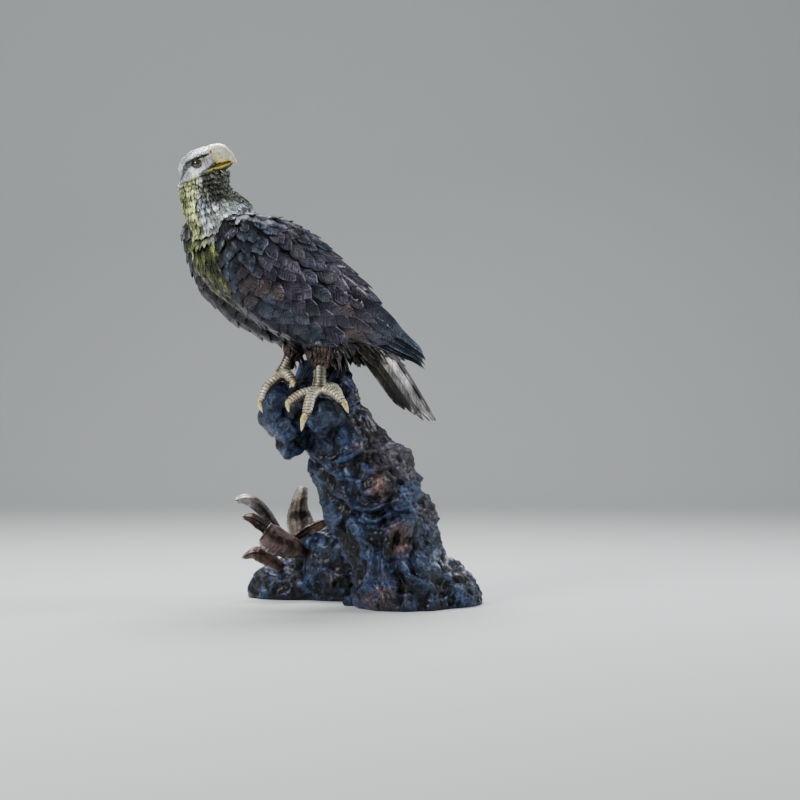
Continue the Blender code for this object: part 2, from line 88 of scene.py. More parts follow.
panel("sky_panel", (-0.4, 0.9, 3.0), (0, 0, 0.6), 1.5, 145, (0.95, 0.97, 1.0))
panel("front_panel", (-2.2, -2.2, 2.3), (0, 0, 0.6), 1.3, 95)
panel("side_panel", (2.5, 0.3, 1.9), (0, 0, 0.5), 0.9, 45, (0.90, 0.94, 1.0))
room = bpy.data.worlds.new("room")
scene.world = room
room.use_nodes = True
room.node_tree.nodes["Background"].inputs["Color"].default_value = (0.80, 0.84, 0.88, 1)
room.node_tree.nodes["Background"].inputs["Strength"].default_value = 0.38

# %% [markdown]
# ## Making meshes from arrays
# Each new piece is a grid of points worked out at once with numpy. One function turns points and
# faces into an object, turns its faces outwards, gives it the attributes that its material reads,
# hangs it under the frame's root body and hides the CAD nodes it stands for.

# %% Arrays to objects


def unit(vectors):
    return vectors / np.maximum(np.linalg.norm(vectors, axis=-1, keepdims=True), 1e-9)


def smoothstep(low, high, value):
    t = np.clip((value - low) / (high - low), 0, 1)
    return t * t * (3 - 2 * t)


def make_piece(name, points, faces, material, slot, replaces=(), bake_uv=None, **attributes):
    """Object from an array of points and a list of faces; attributes have one row per point."""
    mesh = bpy.data.meshes.new(name)
    mesh.from_pydata(points, [], faces)
    mesh.calc_loop_triangles()
    corner = points[np.array([t.vertices for t in mesh.loop_triangles])]
    if np.einsum("ij,ij->", corner[:, 0], np.cross(corner[:, 1], corner[:, 2])) < 0:
        mesh.flip_normals()
    mesh.shade_smooth()
    mesh.materials.append(material)
    for key, values in attributes.items():
        values = np.asarray(values, dtype=np.float32).reshape(len(points), -1)
        kind, field = {1: ("FLOAT", "value"), 3: ("FLOAT_VECTOR", "vector")}[values.shape[1]]
        mesh.attributes.new(key, kind, "POINT").data.foreach_set(field, values.ravel())
    if bake_uv is not None:
        corners = np.empty(len(mesh.loops), dtype=np.int32)
        mesh.loops.foreach_get("vertex_index", corners)
        mesh.uv_layers.new(name="OFBake").data.foreach_set("uv", bake_uv[corners].astype(np.float32).ravel())
    piece = add_object(name, mesh)
    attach(piece, "root")
    if replaces:
        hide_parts(*replaces)
    print(f"{name}: {len(corner)} triangles")
    return piece


# %% Grids, curves and tubes


def grid_faces(rows, columns, wrap=False):
    """Quads of a grid of points, closed round its columns when wrap is set."""
    r = np.arange(rows - 1)[:, None]
    c = np.arange(columns if wrap else columns - 1)[None, :]
    after = (c + 1) % columns
    quads = np.stack([r * columns + c, r * columns + after, (r + 1) * columns + after,
                      (r + 1) * columns + c], -1)
    return quads.reshape(-1, 4)


def smooth_through(stations, count):
    """Catmull-Rom curve through rows of numbers, read at count even steps."""
    rows = np.asarray(stations, dtype=float)
    padded = np.vstack([2 * rows[0] - rows[1], rows, 2 * rows[-1] - rows[-2]])
    place = np.linspace(0, len(rows) - 1, count)
    start = np.minimum(place.astype(int), len(rows) - 2)
    t = (place - start)[:, None]
    a, b, c, d = (padded[start + k] for k in range(4))
    return 0.5 * (2 * b + (c - a) * t + (2 * a - 5 * b + 4 * c - d) * t**2 + (3 * b - a - 3 * c + d) * t**3)


def moving_frame(path, up):
    """Unit tangent, side and top at each point of a path, and the run along it in metres."""
    tangent = unit(np.gradient(path, axis=0))
    side = unit(np.cross(tangent, np.asarray(up, dtype=float)))
    run = np.concatenate([[0], np.cumsum(np.linalg.norm(np.diff(path, axis=0), axis=1))])
    return tangent, side, np.cross(side, tangent), run


def tube(path, up, section, sides):
    """Closed tube: section(run, turn) gives offsets to the side and to the top, angle 0 being the side."""
    _, side, top, run = moving_frame(path, up)
    turn = np.linspace(0, 2 * math.pi, sides, endpoint=False)
    across, high = section(run[:, None], turn[None, :])
    points = path[:, None] + side[:, None] * across[..., None] + top[:, None] * high[..., None]
    rings = len(path)
    faces = grid_faces(rings, sides, wrap=True).tolist()
    faces += [list(range(sides))[::-1], [(rings - 1) * sides + k for k in range(sides)]]
    return points.reshape(-1, 3), faces


# %% [markdown]
# ## Noise
# Cast rock and chiselled feathers are irregular at several sizes at once. The usual recipe is value
# noise, random numbers at the corners of a cubic lattice blended in between, summed over octaves
# that halve in size. Folding it at zero gives sharp ridges, as in bark. Worley noise, the distance to
# the nearest of scattered points, gives pebbles.

# %% Noise functions


def lattice(cells, seed):
    """One repeatable random number from 0 to 1 for each whole-number cell."""
    x, y, z = (cells[..., k].astype(np.int64) for k in range(3))
    h = (x * 374761393 + y * 668265263 + z * 1274126177 + seed * 974634777) & 0xFFFFFFFF
    h = ((h ^ (h >> 13)) * 1103515245) & 0xFFFFFFFF
    return ((h ^ (h >> 16)) & 0xFFFFFF) / float(0xFFFFFF)


def value_noise(points, scale, seed):
    """Lattice numbers blended by a smooth step along each axis, from -1 to 1."""
    place = points / scale
    cell = np.floor(place)
    f = place - cell
    f = f * f * (3 - 2 * f)
    total = 0
    for corner in np.ndindex(2, 2, 2):
        weight = np.prod(np.where(np.array(corner), f, 1 - f), axis=-1)
        total = total + weight * lattice(cell + np.array(corner), seed)
    return 2 * total - 1


def octaves(points, scale, seed, count=3):
    """Sum of value noises, each half the size and half the height of the one before."""
    return sum(value_noise(points, np.asarray(scale) / 2**k, seed + k) / 2**k for k in range(count))


def ridges(points, scale, seed, count=3):
    """Octaves of value noise folded at zero: 1 on sharp crests, falling to 0 between them."""
    total = sum((1 - np.abs(value_noise(points, np.asarray(scale) / 2**k, seed + k))) ** 2 / 2**k
                for k in range(count))
    return total / (2 - 0.5 ** (count - 1))


def pebbles(points, scale, seed):
    """Domes of up to 1 at the scattered points of Worley noise, 0 between them."""
    place = points / scale
    cell = np.floor(place)
    nearest = np.full(len(points), 9.0)
    for corner in np.ndindex(3, 3, 3):
        there = cell + np.array(corner) - 1
        seeds = there + 0.2 + 0.6 * np.stack([lattice(there, seed + k) for k in range(3)], -1)
        nearest = np.minimum(nearest, np.linalg.norm(place - seeds, axis=1))
    return np.sqrt(np.maximum(0, 1 - (nearest / 0.62) ** 2))


# %% [markdown]
# ## Patinas
# The metal is a copper-tin bronze. A foundry heats it and brushes on chemicals: liver of sulphur and
# ferric nitrate for browns and blacks, a bismuth white for silver, and bare metal rubbed back to gold
# on what stands proud, all under wax. So every finish is built the same way: a patina colour that the
# mesh carries as an attribute, darker in the recesses, worn back to bright metal on rims, with a
# slightly uneven waxed sheen. Colours are written as sRGB hex and turned to linear by one function.

# %% Material helpers


def srgb(code):
    """Linear RGB from a hex colour: the standard sRGB curve."""
    parts = [int(code[k:k + 2], 16) / 255 for k in (1, 3, 5)]
    return np.array([v / 12.92 if v <= 0.04045 else ((v + 0.055) / 1.055) ** 2.4 for v in parts])


def new_material(name, metallic):
    material = bpy.data.materials.new(name)
    material.use_nodes = True
    shader = material.node_tree.nodes["Principled BSDF"]
    shader.inputs["Metallic"].default_value = metallic
    return material, material.node_tree, shader


def add(tree, kind, inputs=None, out=0, **settings):
    """Adds one shader node with its settings and its values or links, and returns one of its outputs."""
    node = tree.nodes.new("ShaderNode" + kind)
    for key, value in settings.items():
        setattr(node, key, value)
    for key, value in (inputs or {}).items():
        if isinstance(value, bpy.types.NodeSocket):
            tree.links.new(value, node.inputs[key])
        elif isinstance(value, np.ndarray):
            node.inputs[key].default_value = (*value, 1)
        else:
            node.inputs[key].default_value = value
    return node.outputs[out]


SMOOTH = {"interpolation_type": "SMOOTHSTEP"}     # a map range that eases in and out

# %% [markdown]
# ### Feather bronze
# Each vane was cut with fine parallel grooves, its barbs, which leave the shaft at a slant. The mesh
# carries each point's distance across and along its own vane, so a noise stretched along the barbs'
# direction follows every feather. Barbs here are about 2 mm apart, coarser than a real bird's, as on
# the casting. Rims are rubbed brighter. Roots are painted dark, as painted shade under the feathers in
# front, and the same attribute keeps the wax off them.

# %% Feather bronze
BARB_SPACING = 0.0021
BARB_SLANT = 0.9
CLOUD_SCALE, GRIT_SCALE = 26.0, 420.0     # patina clouds of 38 mm, casting grit of 2.4 mm
# ROOT_SHADE is painted shade: the near black of roots and hidden skin under the feathers over them
ROOT_SHADE = srgb("#070607")
WAX = 0.35     # how much wax lies on the proud parts; none lies in the recesses


def feather_bronze(name, roughness, wear, metallic, groove, wear_share):
    """wear is the bare metal's colour and wear_share how pure it is on the rims; groove cuts the barbs."""
    material, tree, shader = new_material(name, metallic)
    shader.inputs["Coat Roughness"].default_value = 0.22
    shader.inputs["Specular Tint"].default_value = (0.55, 0.55, 0.58, 1)
    tone = add(tree, "Attribute", attribute_name="tone", out="Vector")
    vane = add(tree, "Attribute", attribute_name="vane", out="Vector")
    across, along, label = (add(tree, "SeparateXYZ", {0: vane}, out=axis) for axis in "XYZ")
    rim = add(tree, "Attribute", attribute_name="rim", out="Fac")
    depth = add(tree, "Attribute", attribute_name="depth", out="Fac")
    place = add(tree, "TexCoord", out="Object")

    beside = add(tree, "Math", {0: across}, operation="ABSOLUTE")
    set_back = add(tree, "Math", {0: beside, 1: BARB_SLANT}, operation="MULTIPLY")
    slanted = add(tree, "Math", {0: along, 1: set_back}, operation="SUBTRACT")
    count = add(tree, "Math", {0: slanted, 1: 1 / BARB_SPACING}, operation="MULTIPLY")
    spread = add(tree, "Math", {0: across, 1: 0.10 / BARB_SPACING}, operation="MULTIPLY")
    lines = add(tree, "CombineXYZ", {0: count, 1: spread, 2: label})
    barbs = add(tree, "TexNoise", {"Vector": lines, "Scale": 1.0, "Detail": 2.0})
    cloud = add(tree, "TexNoise", {"Vector": place, "Scale": CLOUD_SCALE, "Detail": 4.0})
    grit = add(tree, "TexNoise", {"Vector": place, "Scale": GRIT_SCALE, "Detail": 3.0})

    drift = add(tree, "MapRange", {0: cloud, 1: 0.34, 2: 0.68}, **SMOOTH)
    uneven = add(tree, "MixRGB", {0: drift, 1: np.array([0.55, 0.56, 0.62]), 2: np.array([1.35, 1.28, 1.2])})
    patina = add(tree, "MixRGB", {0: 1.0, 1: tone, 2: uneven}, blend_type="MULTIPLY")
    line = add(tree, "MapRange", {0: barbs, 1: 0.36, 2: 0.60}, **SMOOTH)
    furrow = add(tree, "MixRGB", {0: line, 1: np.full(3, 0.22), 2: np.full(3, 1.6)})
    grooved = add(tree, "MixRGB", {0: groove, 1: patina, 2: furrow}, blend_type="MULTIPLY")
    # Painted shade: where the depth attribute is low, at a root, the colour goes to near black
    shade = add(tree, "MapRange", {0: depth, 1: 0.0, 2: 0.7, 3: 0.97, 4: 0.0}, **SMOOTH)
    sunk = add(tree, "MixRGB", {0: shade, 1: grooved, 2: ROOT_SHADE})
    bright = add(tree, "MixRGB", {0: wear_share, 1: patina, 2: srgb(wear)})
    edge = add(tree, "MapRange", {0: rim, 1: 0.40, 2: 0.95, 3: 0.0, 4: 0.9}, **SMOOTH)
    touched = add(tree, "MapRange", {0: cloud, 1: 0.44, 2: 0.68}, **SMOOTH)
    rubbed = add(tree, "Math", {0: edge, 1: touched}, operation="MULTIPLY")
    tree.links.new(add(tree, "MixRGB", {0: rubbed, 1: sunk, 2: bright}), shader.inputs["Base Color"])
    tree.links.new(add(tree, "MapRange", {0: depth, 1: 0.25, 2: 0.80, 3: 0.02, 4: WAX}),
                   shader.inputs["Coat Weight"])

    tree.links.new(add(tree, "MapRange", {0: grit, 1: 0.3, 2: 0.7, 3: roughness - 0.05, 4: roughness + 0.13}),
                   shader.inputs["Roughness"])
    fine = add(tree, "Math", {0: grit, 1: 0.25, 2: barbs}, operation="MULTIPLY_ADD")
    tree.links.new(add(tree, "Bump", {"Height": fine, "Strength": 1.0, "Distance": 0.0022}),
                   shader.inputs["Normal"])
    return material


# Under wax the dark patina looks wet and glints along every rim; the white one looks silvery and dry.
DARK_FEATHER = feather_bronze("liver_brown_feather_bronze", 0.28, "#8a8790", 0.60, 0.9, 0.6)
PALE_FEATHER = feather_bronze("bismuth_white_feather_bronze", 0.36, "#f4f2e8", 0.40, 0.8, 0.75)

# %% [markdown]
# ### Rock, leaf, gilt and eye
# The rest has no barbs. One recipe mixes the patina attribute with a recess colour by a relief
# attribute, 0 in a crease and 1 on a crest, broken up by grit, so wear follows the modelling. Beak,
# feet and claws are rubbed back to pale gold. The rock is blue black from sulphide over a rough
# casting skin, the leaves are iron-nitrate brown with bare rims. A coarser noise, drawn as a thin dark
# line wherever it crosses its middle value, gives the rock its net of cracks. The eyes are lacquered
# black and smooth as glass, so they shine most.

# %% Cast bronze without barbs


def cast_bronze(name, recess, roughness, metallic, mottle, grit_size, pit, blotch, wax=WAX, crack=0.0):
    """mottle, grit_size and pit are metres of patina cloud, grit and pit depth; crack is 0 to 1."""
    material, tree, shader = new_material(name, metallic)
    shader.inputs["Coat Weight"].default_value = wax
    shader.inputs["Coat Roughness"].default_value = 0.26
    tone = add(tree, "Attribute", attribute_name="tone", out="Vector")
    relief = add(tree, "Attribute", attribute_name="relief", out="Fac")
    place = add(tree, "TexCoord", out="Object")
    cloud = add(tree, "TexNoise", {"Vector": place, "Scale": 1 / mottle, "Detail": 5.0, "Distortion": 0.6})
    grit = add(tree, "TexNoise", {"Vector": place, "Scale": 1 / grit_size, "Detail": 4.0, "Roughness": 0.62})
    fleck = add(tree, "TexNoise", {"Vector": place, "Scale": 0.4 / grit_size, "Detail": 3.0})
    broken = add(tree, "Math", {0: grit, 1: 0.6, 2: relief}, operation="MULTIPLY_ADD")
    raised = add(tree, "MapRange", {0: broken, 1: 0.45, 2: 1.0}, **SMOOTH)
    ground = add(tree, "MixRGB", {0: raised, 1: srgb(recess), 2: tone})
    stain = add(tree, "MapRange", {0: cloud, 1: 0.42, 2: 0.66}, **SMOOTH)
    stained = add(tree, "MixRGB", {0: stain, 1: ground, 2: srgb(blotch)}, blend_type="MULTIPLY")
    spot = add(tree, "MapRange", {0: fleck, 1: 0.3, 2: 0.7}, **SMOOTH)
    spots = add(tree, "MixRGB", {0: spot, 1: np.full(3, 0.6), 2: np.full(3, 1.25)})
    spotted = add(tree, "MixRGB", {0: 1.0, 1: stained, 2: spots}, blend_type="MULTIPLY")
    net = add(tree, "TexNoise", {"Vector": place, "Scale": 0.35 / grit_size, "Detail": 3.0,
                                 "Distortion": 0.8})
    level = add(tree, "Math", {0: net, 1: 0.5}, operation="SUBTRACT")
    beside = add(tree, "Math", {0: level}, operation="ABSOLUTE")
    closed = add(tree, "MapRange", {0: beside, 1: 0.0, 2: 0.05}, **SMOOTH)
    lines = add(tree, "MixRGB", {0: closed, 1: np.full(3, 0.25), 2: np.full(3, 1.12)})
    tree.links.new(add(tree, "MixRGB", {0: crack, 1: spotted, 2: lines}, blend_type="MULTIPLY"),
                   shader.inputs["Base Color"])
    rough = add(tree, "Math", {0: closed, 1: 0.7 * crack, 2: grit}, operation="MULTIPLY_ADD")
    tree.links.new(add(tree, "MapRange", {0: cloud, 1: 0.25, 2: 0.75, 3: roughness - 0.08,
                                          4: roughness + 0.14}), shader.inputs["Roughness"])
    tree.links.new(add(tree, "Bump", {"Height": rough, "Strength": 0.7, "Distance": pit}),
                   shader.inputs["Normal"])
    return material


# %% Gilt, rock and leaf bronze
# Gilt shines warm on every crest, the rock is nearly black and rough, the leaves are brown and waxy.
GILT_BEAK = cast_bronze("rubbed_gold_beak_bronze", "#6a4c1a", 0.32, 0.32, 0.022, 0.0020, 0.0003, "#e8e0c4")
GILT_FOOT = cast_bronze("rubbed_gold_foot_bronze", "#2c261e", 0.36, 0.36, 0.020, 0.0016, 0.0005, "#ccc0a8")
ROCK = cast_bronze("blue_black_rock_bronze", "#040507", 0.36, 0.55, 0.060, 0.0048, 0.0036, "#8c8480",
                   wax=0.22, crack=0.9)
LEAF = cast_bronze("iron_brown_leaf_bronze", "#150d0a", 0.34, 0.50, 0.030, 0.0030, 0.0012, "#8a7468")

# %% Eye and floor finishes
EYE, eye_tree, eye_shader = new_material("lacquered_black_eye", 0.0)
pole_angle = add(eye_tree, "Attribute", attribute_name="iris", out="Fac")
iris_edge = add(eye_tree, "MapRange", {0: pole_angle, 1: 0.42, 2: 0.52}, **SMOOTH)
iris = add(eye_tree, "MixRGB", {0: iris_edge, 1: srgb("#040404"), 2: srgb("#251d15")})
white_edge = add(eye_tree, "MapRange", {0: pole_angle, 1: 0.95, 2: 1.1}, **SMOOTH)
eye_tree.links.new(add(eye_tree, "MixRGB", {0: white_edge, 1: iris, 2: srgb("#090808")}),
                   eye_shader.inputs["Base Color"])
eye_shader.inputs["Roughness"].default_value = 0.08
eye_shader.inputs["Coat Weight"].default_value = 1.0
eye_shader.inputs["Coat Roughness"].default_value = 0.03

FLOOR, floor_tree, floor_shader = new_material("matt_pale_floor", 0.0)
dust = add(floor_tree, "TexNoise", {"Scale": 3.0, "Detail": 2.0})
floor_tree.links.new(add(floor_tree, "MixRGB", {0: dust, 1: srgb("#cfd1cf"), 2: srgb("#d5d7d5")}),
                     floor_shader.inputs["Base Color"])
floor_shader.inputs["Roughness"].default_value = 0.8

# %% Floor and backdrop
run = np.linspace(0, 1, 40)
bend = np.clip((run - 0.55) / 0.25, 0, 1) * math.pi / 2
profile_y = -6 + 10 * np.minimum(run / 0.55, 1) + 1.2 * np.sin(bend)
profile_z = 1.2 * (1 - np.cos(bend)) + 6 * np.maximum(run - 0.80, 0) / 0.2
sweep = np.stack(np.broadcast_arrays(np.linspace(-7, 7, 3)[None, :], profile_y[:, None],
                                     profile_z[:, None]), -1)
floor_mesh = bpy.data.meshes.new("floor")
floor_mesh.from_pydata(sweep.reshape(-1, 3) - (0, 0, 0.0004), [], grid_faces(40, 3).tolist())
floor_mesh.materials.append(FLOOR)
floor_mesh.shade_smooth()
add_object("floor", floor_mesh)

# %% [markdown]
# ## The bird's own axes
# Feathers are placed along the bird, not along the room. The eyes give the head's middle, and the
# trunk's place and axes follow from how far it is turned and raised. Points are given as ahead, left
# and up. Routes for feet and leaves are given as they were drawn, before the whole statue was centred,
# so one shift, read from the eyes, brings them home.

# %% Axes of head and trunk
TRUNK_YAW, TRUNK_PITCH = math.radians(30), math.radians(31)
HEAD_YAW, HEAD_PITCH = math.radians(15), math.radians(20)
EYE_AHEAD, EYE_DROP = 0.0085, 0.0078
DRAWN_HEAD = np.array([-0.288, -0.095, 0.960])
DRAWN_TRUNK = np.array([-0.091, 0.0, 0.692])


def axes(yaw, pitch, heading):
    """Rows forward, left, up of a body that looks along -X (heading -1) or +X (heading 1)."""
    forward = np.array([heading * math.cos(yaw) * math.cos(pitch), -math.sin(yaw) * math.cos(pitch),
                        math.sin(pitch)])
    left = unit(np.cross([0, 0, 1], forward))
    return np.array([forward, left, np.cross(forward, left)])


def centre_of(node):
    low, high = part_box(node)
    return np.array((low + high) / 2)


BODY, HEAD = axes(TRUNK_YAW, TRUNK_PITCH, -1), axes(HEAD_YAW, HEAD_PITCH, 1)
eyes_middle = (centre_of("eye_left") + centre_of("eye_right")) / 2
head_centre = eyes_middle - HEAD[0] * EYE_AHEAD + HEAD[2] * EYE_DROP
SHIFT = head_centre - DRAWN_HEAD
trunk_centre = DRAWN_TRUNK + SHIFT


def on_body(ahead, left, up):
    return trunk_centre + ahead * BODY[0] + left * BODY[1] + up * BODY[2]


def on_head(ahead, left, up):
    return head_centre + ahead * HEAD[0] + left * HEAD[1] + up * HEAD[2]


def in_body(points):
    return (points - trunk_centre) @ BODY.T


def in_head(points):
    return (points - head_centre) @ HEAD.T


print("head's middle", head_centre.round(4), "shift", SHIFT.round(4))

# %% [markdown]
# ## One skin
# The CAD solids of the flesh are separate bodies a hair apart. Copies of them, swollen until they
# overlap, are fused by a voxel remesh into one closed surface, which no formula could give. Moving
# each point towards its neighbours' mean then melts the joints. The same function fuses the rock.

# %% Fusing CAD nodes


def node_arrays(node):
    """A CAD node's merged points, faces and point normals."""
    work = bmesh.new()
    work.from_mesh(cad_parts[node].data)
    bmesh.ops.remove_doubles(work, verts=work.verts, dist=1e-5)
    work.normal_update()
    points = np.array([v.co for v in work.verts])
    normals = np.array([v.normal for v in work.verts])
    faces = [tuple(v.index for v in f.verts) for f in work.faces]
    work.free()
    return points, faces, normals


def relax(points, edges, rounds, share=0.5):
    """Moves every point a share of the way to the mean of its neighbours, several times."""
    degree = np.bincount(edges.ravel(), minlength=len(points))[:, None]
    for _ in range(rounds):
        total = np.stack([np.bincount(edges[:, 0], points[edges[:, 1], k], len(points))
                          + np.bincount(edges[:, 1], points[edges[:, 0], k], len(points))
                          for k in range(3)], -1)
        points = points + share * (total / np.maximum(degree, 1) - points)
    return points


def fused(nodes, voxel, rounds, swell=0.0007):
    """One closed mesh round several CAD nodes."""
    points, faces, count = [], [], 0
    for node in nodes:
        p, f, n = node_arrays(node)
        points.append(p + n * swell)
        faces += [tuple(i + count for i in face) for face in f]
        count += len(p)
    mesh = bpy.data.meshes.new("fusing")
    mesh.from_pydata(np.vstack(points), [], faces)
    body = add_object("fusing", mesh)
    remesh = body.modifiers.new("remesh", "REMESH")
    remesh.mode, remesh.voxel_size = "VOXEL", voxel
    result = bpy.data.meshes.new_from_object(body.evaluated_get(bpy.context.evaluated_depsgraph_get()))
    bpy.data.objects.remove(body, do_unlink=True)
    place = np.array([v.co for v in result.vertices])
    edges = np.array([e.vertices for e in result.edges])
    result.vertices.foreach_set("co", relax(place, edges, rounds).astype(np.float32).ravel())
    result.update()
    return result


def mesh_arrays(mesh):
    points = np.empty(3 * len(mesh.vertices), np.float32)
    mesh.vertices.foreach_get("co", points)
    normals = np.empty(3 * len(mesh.vertices), np.float32)
    mesh.vertex_normals.foreach_get("vector", normals)
    faces = [tuple(p.vertices) for p in mesh.polygons]
    return points.reshape(-1, 3).astype(float), normals.reshape(-1, 3).astype(float), faces


FLESH = ["head", "neck", "trunk", "wing_left", "wing_right", "thigh_left", "thigh_right"]
envelope = fused(FLESH, 0.0035, 5)
envelope_points, _, envelope_faces = mesh_arrays(envelope)
SURFACE = BVHTree.FromPolygons(envelope_points.tolist(), envelope_faces)
print("envelope", len(envelope_points), "points")

# %% [markdown]
# ## Markings
# Skin and feathers carry one set of markings, worked out from where a point is on the bird: a silver
# head crossed by a dark band along the brow, partly patina and partly painted shadow under it, an
# olive nape, a throat painted dark, partly patina and partly painted shade under the chin, silver
# hackles that fade into wings of violet, slate and brown, an olive breast with paler olive flecks,
# partly patina and partly painted highlight, and red-brown thighs.

# %% Colours by place
TONES = {name: srgb(code) for name, code in {
    "silver": "#d8dfe4", "olive": "#8f9a45", "throat_and_shade": "#484b3e", "hackle": "#a9b2b3",
    "breast": "#363a1c", "violet": "#403c49", "slate": "#353f4b", "brown": "#483c39",
    "belly": "#34341f", "lore": "#8f8a4c", "brow_band_and_shadow": "#22210f"}.items()}


def blend(first, second, share):
    return first + (second - first) * share[:, None]


def washes(count, base, *layers):
    """Linear RGB for count points: a base colour, and over it other colours, each by its own shares."""
    tone = np.broadcast_to(srgb(base), (count, 3))
    for code, share in layers:
        tone = blend(tone, srgb(code), np.ravel(share))
    return tone


def hill(points, ahead, up, long, wide, lean=0.0):
    """Rounded bump of height 1 on both sides of the head: a Gaussian in ahead and up, leant by lean."""
    nose, beside, crown = in_head(points).T
    u, v = nose - ahead, crown - up
    u, v = u + lean * v, v - lean * u
    return np.exp(-((u / long) ** 2) - (v / wide) ** 2) * smoothstep(0.008, 0.017, np.abs(beside))


def tone_at(points, winged=0.0):
    """Linear RGB for points on the bird: one marking laid over another, with wavering borders.

    winged is 1 on a wing, which has no olive and hardly any silver.
    """
    drawn = points - SHIFT
    ahead, left, up = in_body(points).T
    nose, beside, crown = in_head(points).T
    drift = octaves(points, 0.045, 1, 2)
    patch = octaves(points, 0.075, 5, 2)
    tone = blend(TONES["violet"], TONES["slate"], smoothstep(-0.15, 0.45, patch - 0.6 * up / 0.1))
    tone = blend(tone, TONES["brown"], smoothstep(0.15, 0.7, octaves(points, 0.06, 9, 2)) * 0.8)
    below = smoothstep(0.0, 0.05, -up + 0.30 * (ahead - 0.18) + 0.012 * drift) * (np.abs(left) < 0.118)
    breast = smoothstep(-0.04, 0.10, ahead) * below
    tone = blend(tone, TONES["belly"], below * 0.7 * (1 - winged))
    tone = blend(tone, TONES["breast"], breast * (1 - winged))
    # Paler olive flecks on the breast, laid by noise: partly patina, partly painted highlight
    fleck_and_highlight = smoothstep(0.10, 0.55, octaves(points, 0.016, 13, 1))
    tone = blend(tone, TONES["olive"], breast * fleck_and_highlight * 0.55 * (1 - winged))
    drawn_z = drawn[:, 2] + 0.012 * drift
    collar = 0.817 + 0.038 * smoothstep(-0.25, -0.19, drawn[:, 0])
    border = np.interp(drawn_z, (0.800, 0.830, 0.865), (-0.235, -0.225, -0.160))
    cape = smoothstep(-0.016, 0.020, drawn_z - collar) * (1 - smoothstep(-0.012, 0.030, drawn[:, 0] - border))
    tone = blend(tone, TONES["hackle"], cape * smoothstep(0.09, 0.15, ahead) * (1 - 0.75 * winged))
    turn = np.degrees(np.arctan2(-(drawn[:, 1] + 0.096), drawn[:, 0] + 0.268))
    turn = np.where(turn < -90, turn + 360, turn) + 8 * drift
    # The throat under the chin is painted dark: partly patina, partly painted shade
    collar_top = smoothstep(0.872, 0.892, drawn_z)
    throat_and_shade = smoothstep(-60, -20, turn) * (1 - smoothstep(92, 112, turn))
    tone = blend(tone, TONES["throat_and_shade"], collar_top * throat_and_shade)
    nape = smoothstep(100, 122, turn) * smoothstep(0.790, 0.850, drawn_z + 0.00035 * (turn - 110))
    tone = blend(tone, TONES["olive"], nape * 0.8 * (1 - winged))
    edge = np.interp(nose, (-0.045, -0.026, 0.006, 0.012, 0.038, 0.050),
                     (-0.034, -0.036, -0.032, -0.029, -0.020, -0.018))
    face = smoothstep(-0.0015, 0.0025, crown - edge + 0.003 * drift)
    face = face * (np.linalg.norm(points - head_centre, axis=1) < 0.10)
    tone = blend(tone, TONES["silver"], face)
    # A dark band under the brow, from behind the eye to the beak: partly patina, partly painted shadow under
    # the brow
    line = np.interp(nose, (-0.032, -0.017, -0.007, 0.008, 0.020, 0.036),
                     (-0.018, -0.0065, -0.0040, -0.001, 0.0022, 0.0026))
    half = np.interp(nose, (-0.037, -0.030, -0.012, 0.004, 0.016, 0.022, 0.036),
                     (0.002, 0.0070, 0.0080, 0.0068, 0.0044, 0.0030, 0.0022))
    brow_band_and_shadow = 1 - smoothstep(0.6, 1.3, np.abs(crown - line) / np.maximum(half, 1e-5))
    lore = hill(points, 0.027, -0.0050, 0.0095, 0.0065)
    tone = blend(tone, TONES["lore"], face * lore)
    return blend(tone, TONES["brow_band_and_shadow"], face * brow_band_and_shadow * (np.abs(beside) > 0.012) * (0.93 + 0.07 * drift))


# %% [markdown]
# ## Skin
# The skin lies inside the coat by the coat's depth, 3 mm on the body and less on the head. The head's
# part of it is cut finer and shaped by rounded swellings and hollows: a brow that overhangs the eye
# like a shelf, the socket under it, the lores sunk between eye and beak, and a full cheek.

# %% Skin and head shape
COAT_DEPTH, FACE_DEPTH = 0.0032, 0.0007
EYE_RADIUS = float((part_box("eye_left")[1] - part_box("eye_left")[0])[2]) / 2


def head_relief(points):
    """How far the head stands out from the plain egg of the CAD head, in metres.

    A sum of rounded hills, and of bands along two drawn lines: the brow's edge and the gape.
    """
    nose, beside, crown = in_head(points).T
    outer = smoothstep(0.009, 0.016, np.abs(beside))
    edge = crown - np.interp(nose, (-0.030, -0.010, 0.010, 0.036), (-0.006, 0.0028, 0.0052, 0.0042))
    shelf = smoothstep(-0.0016, 0.0006, edge) * (1 - smoothstep(0.0030, 0.0140, edge))
    brow = shelf * smoothstep(-0.026, -0.008, nose) * (1 - smoothstep(0.030, 0.040, nose)) * outer
    undercut = smoothstep(-0.0075, -0.0030, edge) * (1 - smoothstep(-0.0012, 0.0004, edge))
    undercut = undercut * smoothstep(-0.018, -0.004, nose) * (1 - smoothstep(0.032, 0.040, nose)) * outer
    socket = hill(points, EYE_AHEAD, -EYE_DROP, 0.0120, 0.0100)
    lore = hill(points, 0.027, -0.006, 0.009, 0.006)
    behind = hill(points, -0.015, -0.007, 0.011, 0.0045, 0.5)
    cheek = hill(points, -0.006, -0.024, 0.018, 0.007)
    gape = crown - np.interp(nose, (0.004, 0.012, 0.038, 0.046), (-0.031, -0.0285, -0.0200, -0.0190))
    cut = (1 - smoothstep(-0.0030, -0.0008, gape)) * smoothstep(0.004, 0.012, nose)
    cut = cut * smoothstep(0.004, 0.010, np.abs(beside))
    return (0.0040 * brow - 0.0036 * undercut - 0.0044 * socket - 0.0026 * lore - 0.0020 * behind
            + 0.0016 * cheek - 0.0058 * cut)


